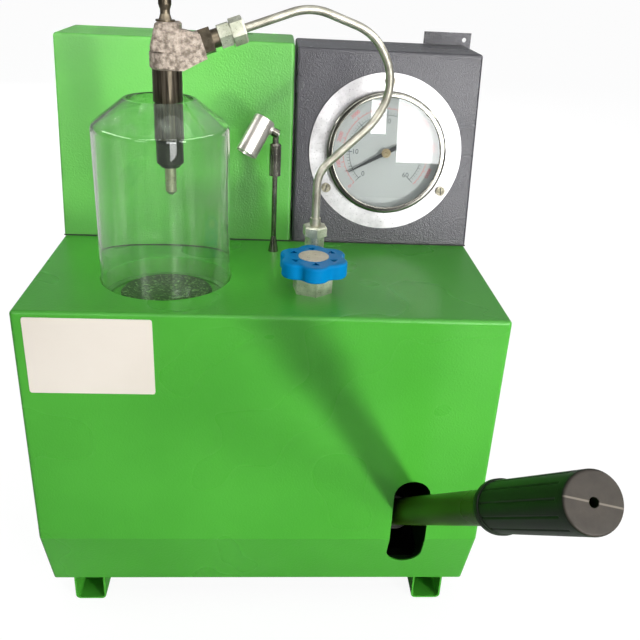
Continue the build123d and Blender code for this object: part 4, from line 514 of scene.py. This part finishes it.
# Spray jar: a clear moulded cylinder with a drawn-in shoulder and an open rounded mouth, standing
# loose on its ring. A faint milky film of oil mist clings to it, with pale upright streaks that are
# painted reflections of windows.
def turned(name, profile, foot, axis, sides=192):
    """A turned piece: each point of the closed profile is a radius and a height along the axis, in
    mm from foot, and is swung round the axis in equal steps."""
    axis = Vector(axis).normalized()
    across = axis.orthogonal().normalized()
    along = axis.cross(across)
    swing = np.linspace(0.0, 2 * math.pi, sides, endpoint=False)
    ring = np.outer(np.cos(swing), across) + np.outer(np.sin(swing), along)
    sizes = np.array(profile) * mm
    grid = np.array(foot) + sizes[:, :1, None] * ring + sizes[:, 1:, None] * np.array(axis)
    return surface(name, grid, loop=True)


def eased(points, cuts, steps=6):
    """A closed outline whose corners become short parabolas that start and end cut before and
    after the corner; a cut of zero keeps the corner sharp."""
    points = np.array(points, float)
    share = np.linspace(0.0, 1.0, steps)[:, None]
    outline = []
    for before, corner, after, cut in zip(np.roll(points, 1, 0), points, np.roll(points, -1, 0), cuts):
        if not cut:
            outline.append(corner[None])
            continue
        start = corner + (before - corner) * cut / np.linalg.norm(before - corner)
        end = corner + (after - corner) * cut / np.linalg.norm(after - corner)
        outline.append((1 - share) ** 2 * start + 2 * share * (1 - share) * corner + share**2 * end)
    return np.concatenate(outline)


jar_low, jar_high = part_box("spray_jar")
jar_foot = ((jar_low[0] + jar_high[0]) / 2, (jar_low[1] + jar_high[1]) / 2, 0.0)
jar_out = (jar_high[0] - jar_low[0]) / 2 / mm
jar_base = jar_low[2] / mm
jar_lip = jar_high[2] / mm
jar_wall = 2.5
jar_neck = 25.4
shoulder_drop = 18.4
jar_shoulder = jar_lip - shoulder_drop
base_round = 0.8
shoulder_round = 3.4
shoulder_round_inside = 1.6
lip_round = 0.45
jar_outline = eased(
    [
        (jar_out - jar_wall, jar_base), (jar_out, jar_base), (jar_out, jar_shoulder), (jar_neck, jar_lip),
        (jar_neck - jar_wall, jar_lip), (jar_out - jar_wall, jar_shoulder - jar_wall / 2),
    ],
    [base_round, base_round, shoulder_round, lip_round, lip_round, shoulder_round_inside],
)
jar = turned("clear_jar_wall", jar_outline, jar_foot, (0, 0, 1))
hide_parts("spray_jar")
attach(jar, "jar")

painted_streaks_per_metre = 95.0
painted_streak_stretch = 0.05
thinnest_film = 0.1


def clear(name, colour, rough, index, film=0.0, specular=0.5):
    """Clear moulding or glass that lets lamp light through; film is the most milky haze, in pale
    vertical streaks that are painted reflections of windows; a tenth of it lies everywhere as a faint mist."""
    material = blank(name)
    tree = material.node_tree
    path = add(tree, "ShaderNodeLightPath")
    shade = add(tree, "ShaderNodeMath", {0: 1.0, 1: path.outputs["Is Shadow Ray"]}, operation="SUBTRACT")
    place = add(tree, "ShaderNodeTexCoord").outputs["Object"]
    drawn = add(tree, "ShaderNodeMapping", {"Vector": place, "Scale": (1.0, 1.0, painted_streak_stretch)})
    streaks = add(
        tree, "ShaderNodeTexNoise", {"Vector": drawn.outputs[0], "Scale": painted_streaks_per_metre, "Detail": 2.0},
    )
    passed = add(
        tree, "ShaderNodeMapRange",
        {"Value": streaks.outputs[0], "From Min": 0.55, "From Max": 0.74,
         "To Min": 1.0 - film * thinnest_film, "To Max": 1.0 - film},
    )
    close(
        tree, Base_Color=linear(colour), Roughness=rough, IOR=index, Specular_IOR_Level=specular,
        Transmission_Weight=passed.outputs[0], Alpha=shade.outputs[0],
    )
    return material


# Clear acrylic: nearly invisible, with dark edges, thin bright lines at its shoulder and a faint
# milky haze of mist, whose pale upright streaks are painted reflections of windows.
clear_jar = clear("clear acrylic with oil mist", "#e6f4e0", 0.02, 1.45, 0.09, 0.35)
jar.data.materials.append(clear_jar)
dress(clear_jar, "spray_jar")


# Injector under test: a rough cast body with a side lug for its connector, and below it a ground
# holder, a blackened cap nut and the nozzle, screwed into each other. A leak-off stem is on top.

# Rough cast steel: brownish and mottled, its bumps catching dull lights.
cast_steel = metal(
    "rough cast steel", "#bdafa1", "#685e53", 0.5, 0.9 * mm, 0.5 * mm, metallic=0.6, patch=3.5 * mm,
)
dress(cast_steel, "injector_body")
# Turned steel with oil burnt on: brown, smooth and fairly dark.
oiled_steel = metal("oiled turned steel", "#7a705f", "#433d33", 0.34, 0.9 * mm, 0.05 * mm)
dress(oiled_steel, "inlet_connector", "leak_off_stem")
# Ground steel stained by oil: dark and light brown streaks run down the holder.
streaked_steel = metal(
    "ground steel stained in streaks", "#6b6355", "#1e1b17", 0.34, 0.8 * mm, 0.03 * mm, (1.0, 1.0, 0.05),
    patch=2.8 * mm,
)
dress(streaked_steel, "nozzle_holder")
dress(black_oxide_and_shade, "nozzle_cap_nut")
dress(ground_steel, "nozzle")


# Lamp: a plated rod screwed into the deck, a sleeve for its knuckle on top and a turned tube with
# a glass lens as its head.

# Dark plating: a smooth grey mirror with hard bright lines.
plated_rod = metal("dark plated steel", "#959388", "#64625a", 0.17, 0.9 * mm, 0.02 * mm)
dress(plated_rod, "lamp_stand", "lamp_sleeve")
# Turned aluminium: bright and nearly white, with soft bands along the tube.
aluminium = metal("turned aluminium", "#d8d4ce", "#bcb6af", 0.3, 0.7 * mm, 0.02 * mm, metallic=0.9)
dress(aluminium, "lamp_head")
# Window glass: clean and flat, seen only by what it mirrors.
clear_glass = clear("window glass", "#f6fbfb", 0.0, 1.52)
dress(clear_glass, "lamp_lens")


# Lever tube: a steel tube painted dark green, driven into the socket of the pump's arm.
# It slants forwards and up out of the cabinet's slot.
lever_pivot = np.array((108.2, -50.0, 50.5)) * mm
lever_rise = math.radians(40.0)
lever_crank = math.radians(6.26)
lever_line = np.array((
    math.sin(lever_crank),
    -math.cos(lever_crank) * math.cos(lever_rise),
    math.cos(lever_crank) * math.sin(lever_rise),
))
tube_radius = 11.0
tube_bore = 9.0
tube_start = 14.0
tube_end = 374.0
tube = turned(
    "lever_tube_wall",
    [(tube_bore, tube_start), (tube_radius, tube_start), (tube_radius, tube_end), (tube_bore, tube_end)],
    lever_pivot, lever_line, sides=96,
)
# Gloss paint: deep olive green with long soft lights.
lever_paint = coating("dark green gloss paint", "#3c6212", "#2b490c", 1.6 * mm, 0.03 * mm, 0.24, 1.2)
dress(lever_paint, "lever_tube")
tube.data.materials.append(lever_paint)
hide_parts("lever_tube")
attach(tube, "lever")


# Lever grip: a dark rubber handle moulded in two halves and pushed over the tube's end. It has a
# collar, twelve shallow grooves and a vent hole.
grip_start = 272.5
grip_end = 380.0
grip_radius = 15.2
grip_clearance = 0.05
collar_radius = 16.2
collar_end = 278.5
collar_round = 0.9
end_round = 1.6
vent_radius = 2.4
vent_round = 0.4
groove_count = 12
groove_depth = 0.6 * mm
groove_width = 1.6
groove_half = groove_width / 2 / grip_radius
groove_margin = 8.0
groove_fade = 1.5
skin_margin = 0.1
grip_bore = tube_radius + grip_clearance
bore_end = tube_end + grip_clearance
grip_outline = eased(
    [
        (grip_bore, bore_end), (grip_bore, grip_start), (collar_radius, grip_start),
        (collar_radius, collar_end), (grip_radius, collar_end), (grip_radius, grip_start + groove_margin),
        (grip_radius, grip_end - groove_margin), (grip_radius, grip_end), (vent_radius, grip_end),
        (vent_radius, bore_end),
    ],
    [0, 0, collar_round, collar_round, 0, groove_fade, groove_fade, end_round, vent_round, 0],
)
grip = turned("lever_grip_skin", grip_outline, lever_pivot, lever_line, sides=360)


def points_of(mesh):
    """All of a mesh's points as rows of x, y and z."""
    flat = np.empty(len(mesh.vertices) * 3, np.float32)
    mesh.vertices.foreach_get("co", flat)
    return flat.reshape(-1, 3).astype(float)


def grooved(mesh):
    """Presses the grooves into the grip: a point sinks by groove_depth at a groove's middle, and
    away from it by groove_depth times one minus the square of its angle over groove_half."""
    spots = points_of(mesh)
    reach = (spots - lever_pivot) @ lever_line
    out = spots - lever_pivot - np.outer(reach, lever_line)
    radius = np.linalg.norm(out, axis=1)
    side = np.array(Vector(lever_line).orthogonal().normalized())
    turns = np.arctan2(out @ np.cross(lever_line, side), out @ side) * groove_count / (2 * math.pi)
    off = np.abs((turns + 0.5) % 1.0 - 0.5) * 2 * math.pi / groove_count
    within = (reach > (grip_start + groove_margin) * mm) & (reach < (grip_end - groove_margin) * mm)
    outside = radius > (grip_radius - skin_margin) * mm
    sink = groove_depth * np.clip(1.0 - (off / groove_half) ** 2, 0.0, 1.0) * (within & outside)
    spots -= out * (sink / np.maximum(radius, mm))[:, None]
    mesh.vertices.foreach_set("co", spots.ravel())


grooved(grip.data)

parting_tilt = math.radians(14.0)
parting_half = 0.25 * mm
parting_fade = 0.6 * mm
parting_strength = 0.6
end_depth = 1.0 * mm
end_fade = 0.8 * mm
worn_specks_per_metre = 160.0
rubber_grain = 1.2 * mm
rubber_grain_depth = 0.06 * mm
# Moulded rubber: near black and dull along the body, tinted dark green there as a painted reflection
# of the cabinet, and a brownish grey on the end face as painted light where the light falls on it.
# Across that face the two halves of the mould left a thin pale line.
grip_rubber = blank("dark moulded grip rubber")
tree = grip_rubber.node_tree
place = add(tree, "ShaderNodeTexCoord").outputs["Object"]
parting_side = np.cross(lever_line, (math.cos(parting_tilt), 0.0, -math.sin(parting_tilt)))
parting_side /= np.linalg.norm(parting_side)
along = add(tree, "ShaderNodeVectorMath", {0: place, 1: tuple(lever_line)}, operation="DOT_PRODUCT")
across = add(tree, "ShaderNodeVectorMath", {0: place, 1: tuple(parting_side)}, operation="DOT_PRODUCT")
face_at = float(lever_pivot @ lever_line) + grip_end * mm - end_depth
lit_end = add(
    tree, "ShaderNodeMapRange",
    {"Value": along.outputs["Value"], "From Min": face_at, "From Max": face_at + end_fade},
)
offset = add(
    tree, "ShaderNodeMath", {0: across.outputs["Value"], 1: float(lever_pivot @ parting_side)},
    operation="SUBTRACT",
)
distance = add(tree, "ShaderNodeMath", {0: offset.outputs[0]}, operation="ABSOLUTE")
seam = add(
    tree, "ShaderNodeMapRange",
    {"Value": distance.outputs[0], "From Min": parting_half, "From Max": parting_fade,
     "To Min": parting_strength, "To Max": 0.0},
)
worn = add(tree, "ShaderNodeTexNoise", {"Vector": place, "Scale": worn_specks_per_metre, "Detail": 4.0})
body_tone_with_green_reflection = add(
    tree, "ShaderNodeMix", {0: worn.outputs[0], 6: linear("#13240e"), 7: linear("#0c1809")},
    data_type="RGBA",
)
lit_end_tone = add(
    tree, "ShaderNodeMix", {0: worn.outputs[0], 6: linear("#48423b"), 7: linear("#2f2c27")},
    data_type="RGBA",
)
line_tone = add(
    tree, "ShaderNodeMix", {0: seam.outputs[0], 6: lit_end_tone.outputs[2], 7: linear("#8d8578")},
    data_type="RGBA",
)
tone = add(
    tree, "ShaderNodeMix", {0: lit_end.outputs[0], 6: body_tone_with_green_reflection.outputs[2], 7: line_tone.outputs[2]},
    data_type="RGBA",
)
fine = add(tree, "ShaderNodeTexNoise", {"Vector": place, "Scale": 1.0 / rubber_grain, "Detail": 2.0})
skin = add(
    tree, "ShaderNodeBump", {"Height": fine.outputs[0], "Strength": 1.0, "Distance": rubber_grain_depth},
)
close(tree, Base_Color=tone.outputs[2], Roughness=0.38, Normal=skin.outputs[0], IOR=1.24)
grip.data.materials.append(grip_rubber)
dress(grip_rubber, "lever_grip")
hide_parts("lever_grip")
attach(grip, "lever")


# Gauge: a spun aluminium case with a wide flat flange, held by three screws, and in it a brass
# socket and pressure tube, a printed dial, a pressed pointer and flat glass.

# Spun aluminium: white and satin, with slow cloudy changes of tone.
spun_aluminium = metal(
    "spun aluminium", "#d2d0d1", "#a8a6a7", 0.3, 1.4 * mm, 0.02 * mm, metallic=0.4, patch=20.0 * mm,
)
dress(spun_aluminium, "gauge_case")
# Worn zinc: a dull straw colour with dark grime in its hollows.
worn_zinc = metal(
    "worn zinc with grime", "#989382", "#4f4b3d", 0.4, 0.9 * mm, 0.05 * mm, metallic=0.8, patch=2.5 * mm,
)
dress(worn_zinc, "pan_screws")
# Brass: yellow and bright, inside the case.
brass = metal("brass", "#d3bd8c", "#b59b68", 0.3, 0.9 * mm, 0.02 * mm)
dress(brass, "gauge_socket", "bourdon_tube")
# White dial lacquer: flat and even, a cool pale grey behind its glass.
dial_white = coating("white printed dial", "#a7a8a5", "#9fa09d", 2.0 * mm, 0.01 * mm, 0.5, 1.08)
dress(dial_white, "gauge_dial")
dress(clear_glass, "gauge_glass")
dress(black_plastic, "gauge_pointer")


# Gauge bezel: a steel ring, rolled and polished, that holds the glass down on the case.
# Its lip turns in over the glass, and its outer edge is well rounded.
gauge_centre = np.array((98.2, 42.351, 360.122)) * mm
gauge_lean = math.radians(7.5)
gauge_out = np.array((0.0, -math.cos(gauge_lean), math.sin(gauge_lean)))
gauge_up = np.array((0.0, math.sin(gauge_lean), math.cos(gauge_lean)))
gauge_right = np.array((1.0, 0.0, 0.0))
bezel_lip = 45.4
bezel_bore = 49.1
bezel_outside = 50.6
bezel_foot = 2.0
bezel_lip_under = 9.05
bezel_front = 10.0
bezel_round = 2.5
lip_edge_round = 0.7
bezel_outline = eased(
    [
        (bezel_lip, bezel_lip_under), (bezel_bore, bezel_lip_under), (bezel_bore, bezel_foot),
        (bezel_outside, bezel_foot), (bezel_outside, bezel_front), (bezel_lip, bezel_front),
    ],
    [0, 0, 0, 0, bezel_round, lip_edge_round],
    steps=9,
)
bezel = turned("gauge_bezel_ring", bezel_outline, gauge_centre, gauge_out, sides=256)
# Polished steel: a mirror of the room, black and white in thin rings.
chrome = metal("polished steel bezel", "#83827a", "#706f68", 0.12, 2.0 * mm, 0.01 * mm)
dress(chrome, "gauge_bezel")
bezel.data.materials.append(chrome)
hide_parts("gauge_bezel")
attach(bezel, "cabinet")


# Dial print: a black scale from 0 to 60 inside and a red one from 0 to 8000 outside it, over 270
# degrees, printed on the white dial plate as thin ink.
dial_face = 1.5 * mm
ink_thickness = 0.03 * mm
scale_start = math.radians(225.0)
scale_sweep = math.radians(270.0)
capital_share = 0.7


def ink_plate(name, flats, material):
    """Ink on the dial: each flat is a four-cornered patch in dial coordinates, raised by the ink's
    thickness into a closed plate."""
    lifts = np.array((dial_face + ink_thickness, dial_face))[:, None, None]
    spread = flats[:, None, :, :1] * gauge_right + flats[:, None, :, 1:] * gauge_up
    points = gauge_centre + spread + lifts * gauge_out
    sides = np.array([(0, 1, 2, 3), (7, 6, 5, 4), (0, 4, 5, 1), (1, 5, 6, 2), (2, 6, 7, 3), (3, 7, 4, 0)])
    faces = 8 * np.arange(len(flats))[:, None, None] + sides
    mesh = bpy.data.meshes.new(name)
    mesh.from_pydata(points.reshape(-1, 3).tolist(), [], faces.reshape(-1, 4).tolist())
    piece = bpy.data.objects.new(name, mesh)
    scene.collection.objects.link(piece)
    mesh.materials.append(material)
    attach(piece, "cabinet")


def rays(shares):
    """Rays one millimetre long on the dial, at these shares of the scale, which runs clockwise."""
    angles = scale_start - shares * scale_sweep
    return np.column_stack([np.cos(angles), np.sin(angles)]) * mm


def ticks(shares, inner, outer, width):
    """Ticks at these shares of the scale, from radius inner to outer and width wide, in mm, as
    patches of four corners."""
    ray = rays(shares)
    inner, outer, width = (np.broadcast_to(size, len(ray))[:, None] for size in (inner, outer, width))
    wide = np.column_stack([-ray[:, 1], ray[:, 0]]) * width / 2
    return np.stack([ray * inner - wide, ray * outer - wide, ray * outer + wide, ray * inner + wide], axis=1)


def arc(inner, outer, pieces=120):
    """The scale's arc between two radii in mm, as a row of short patches."""
    ray = rays(np.linspace(0.0, 1.0, pieces + 1))
    return np.stack([ray[1:] * inner, ray[1:] * outer, ray[:-1] * outer, ray[:-1] * inner], axis=1)


def numeral(text, share, radius, height, turned_with_scale, material, slot):
    """A printed number: built-in type, made a mesh, laid on the dial at this radius in mm."""
    curve = bpy.data.curves.new("numeral", "FONT")
    curve.body = text
    curve.size = height / capital_share * mm
    curve.align_x = "CENTER"
    curve.align_y = "CENTER"
    curve.extrude = ink_thickness / 2
    holder = bpy.data.objects.new("numeral", curve)
    scene.collection.objects.link(holder)
    mesh = bpy.data.meshes.new_from_object(holder.evaluated_get(bpy.context.evaluated_depsgraph_get()))
    bpy.data.objects.remove(holder)
    angle = scale_start - share * scale_sweep
    turn = angle - math.pi / 2 if turned_with_scale else 0.0
    spots = points_of(mesh)
    flat_x = spots[:, 0] * math.cos(turn) - spots[:, 1] * math.sin(turn) + radius * mm * math.cos(angle)
    flat_y = spots[:, 0] * math.sin(turn) + spots[:, 1] * math.cos(turn) + radius * mm * math.sin(angle)
    lift = spots[:, 2] + dial_face + ink_thickness / 2
    placed = gauge_centre + np.column_stack([flat_x, flat_y, lift]) @ [gauge_right, gauge_up, gauge_out]
    mesh.vertices.foreach_set("co", placed.ravel())
    mesh.materials.clear()
    mesh.materials.append(material)
    piece = bpy.data.objects.new("numeral_" + slot + "_" + text, mesh)
    scene.collection.objects.link(piece)
    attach(piece, "cabinet")


# Dial ink: matt, a soft charcoal and a faded red.
black_ink = coating("black dial ink", "#3b3f44", "#34383d", 0.9 * mm, 0.01 * mm, 0.5)
red_ink = coating("red dial ink", "#c8525c", "#bd4953", 0.9 * mm, 0.01 * mm, 0.5)

black_top = 60
black_arc_in, black_arc_out = 30.8, 31.2
black_tick_in, black_tick_out, black_tick_long = 31.0, 33.4, 34.4
black_mark_in, black_mark_width = 28.6, 0.6
black_thin, black_thick = 0.28, 0.45
black_number_radius, black_number_height = 26.0, 4.0
black_values = np.arange(black_top + 1)
ink_plate(
    "dial_scale_black",
    np.concatenate([
        arc(black_arc_in, black_arc_out),
        ticks(
            black_values / black_top, black_tick_in,
            np.where(black_values % 10, black_tick_out, black_tick_long),
            np.where(black_values % 5, black_thin, black_thick),
        ),
        ticks(black_values[::10] / black_top, black_mark_in, black_tick_in, black_mark_width),
    ]),
    black_ink,
)
red_top = 8702.0
red_arc_in, red_arc_out = 36.0, 36.35
red_tick_in, red_tick_out, red_tick_long = 36.2, 37.6, 38.4
red_thin, red_thick = 0.26, 0.45
red_number_radius, red_number_height = 40.9, 3.0
red_values = np.arange(0, red_top, 200)
ink_plate(
    "dial_scale_red",
    np.concatenate([
        arc(red_arc_in, red_arc_out),
        ticks(
            red_values / red_top, red_tick_in,
            np.where(red_values % 1000, red_tick_out, red_tick_long),
            np.where(red_values % 1000, red_thin, red_thick),
        ),
    ]),
    red_ink,
)
for value in range(0, 61, 10):
    numeral(
        str(value), value / black_top, black_number_radius, black_number_height, False, black_ink,
        "pointer_black",
    )
for value in range(0, 9000, 1000):
    numeral(str(value), value / red_top, red_number_radius, red_number_height, True, red_ink, "dial_white")


# Pointer hub: a turned brass cap with a groove and a small screw in its middle, pressed on the
# pointer's arbor.
hub_base = 5.4
hub_radius, hub_side = 3.9, 6.0
rim_radius, rim_height = 3.0, 6.1
groove_outer, groove_inner, groove_floor = 2.8, 2.3, 5.8
screw_outer, screw_inner, screw_top = 2.1, 1.0, 6.3
recess_radius, recess_floor = 0.7, 6.0
hub_centre = 0.02
hub_rounds = [0, 0, 0.2, 0.15, 0.1, 0.1, 0.2, 0.1, 0.1, 0]
hub_outline = eased(
    [
        (hub_centre, hub_base), (hub_radius, hub_base), (hub_radius, hub_side), (rim_radius, rim_height),
        (groove_outer, groove_floor), (groove_inner, groove_floor), (screw_outer, screw_top),
        (screw_inner, screw_top), (recess_radius, recess_floor), (hub_centre, recess_floor),
    ],
    hub_rounds,
    steps=4,
)
hub = turned("pointer_hub_cap", hub_outline, gauge_centre, gauge_out, sides=64)
# Turned brass gone dull: a small tan button with one soft light.
dull_brass = metal("dull turned brass", "#c6b493", "#a89676", 0.34, 0.9 * mm, 0.02 * mm)
hub.data.materials.append(dull_brass)
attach(hub, "pointer")


# Screw slots: a thin near-black bar laid across the head of each of the three screws of the gauge
# flange, where its saw cut is.
flange_face = 2.0
head_height = 2.2
screw_circle = 58.5
slot_angles = ((90.0, 20.0), (212.0, 75.0), (328.0, 95.0))
slot_length = 6.4
slot_width = 1.0
slot_sunk = 0.3
slot_proud = 0.04
# Slot colour: dull and nearly black.
dark_marks = coating("dark screw slot", "#2b2a22", "#211f19", 0.8 * mm, 0.02 * mm, 0.6)


def slot_bar(name, place_angle, turn):
    """A thin dark bar on a screw head, its corners rounded by two half circles. The screw stands on
    screw_circle at place_angle, and turn is how far it is screwed in, both in degrees."""
    place_angle, turn = math.radians(place_angle), math.radians(turn)
    centre = np.array((math.cos(place_angle), math.sin(place_angle))) * screw_circle
    swing = np.linspace(-math.pi / 2, math.pi / 2, 7)
    end_x = (slot_length - slot_width) / 2 + slot_width / 2 * np.cos(swing)
    end = np.column_stack([end_x, slot_width / 2 * np.sin(swing)])
    spin = np.array([(math.cos(turn), math.sin(turn)), (-math.sin(turn), math.cos(turn))])
    flat = (np.concatenate([end, -end]) @ spin + centre) * mm
    middle = np.broadcast_to(flat.mean(axis=0), flat.shape)
    rings = np.array([middle, flat, flat, middle])
    top = flange_face + head_height
    lifts = np.array([top - slot_sunk, top - slot_sunk, top + slot_proud, top + slot_proud]) * mm
    grid = (
        gauge_centre + rings[..., :1] * gauge_right + rings[..., 1:] * gauge_up
        + lifts[:, None, None] * gauge_out
    )
    bar = surface(name, grid)
    bar.data.materials.append(dark_marks)
    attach(bar, "cabinet")


for count, (place_angle, turn) in enumerate(slot_angles):
    slot_bar("screw_slot_%d" % count, place_angle, turn)
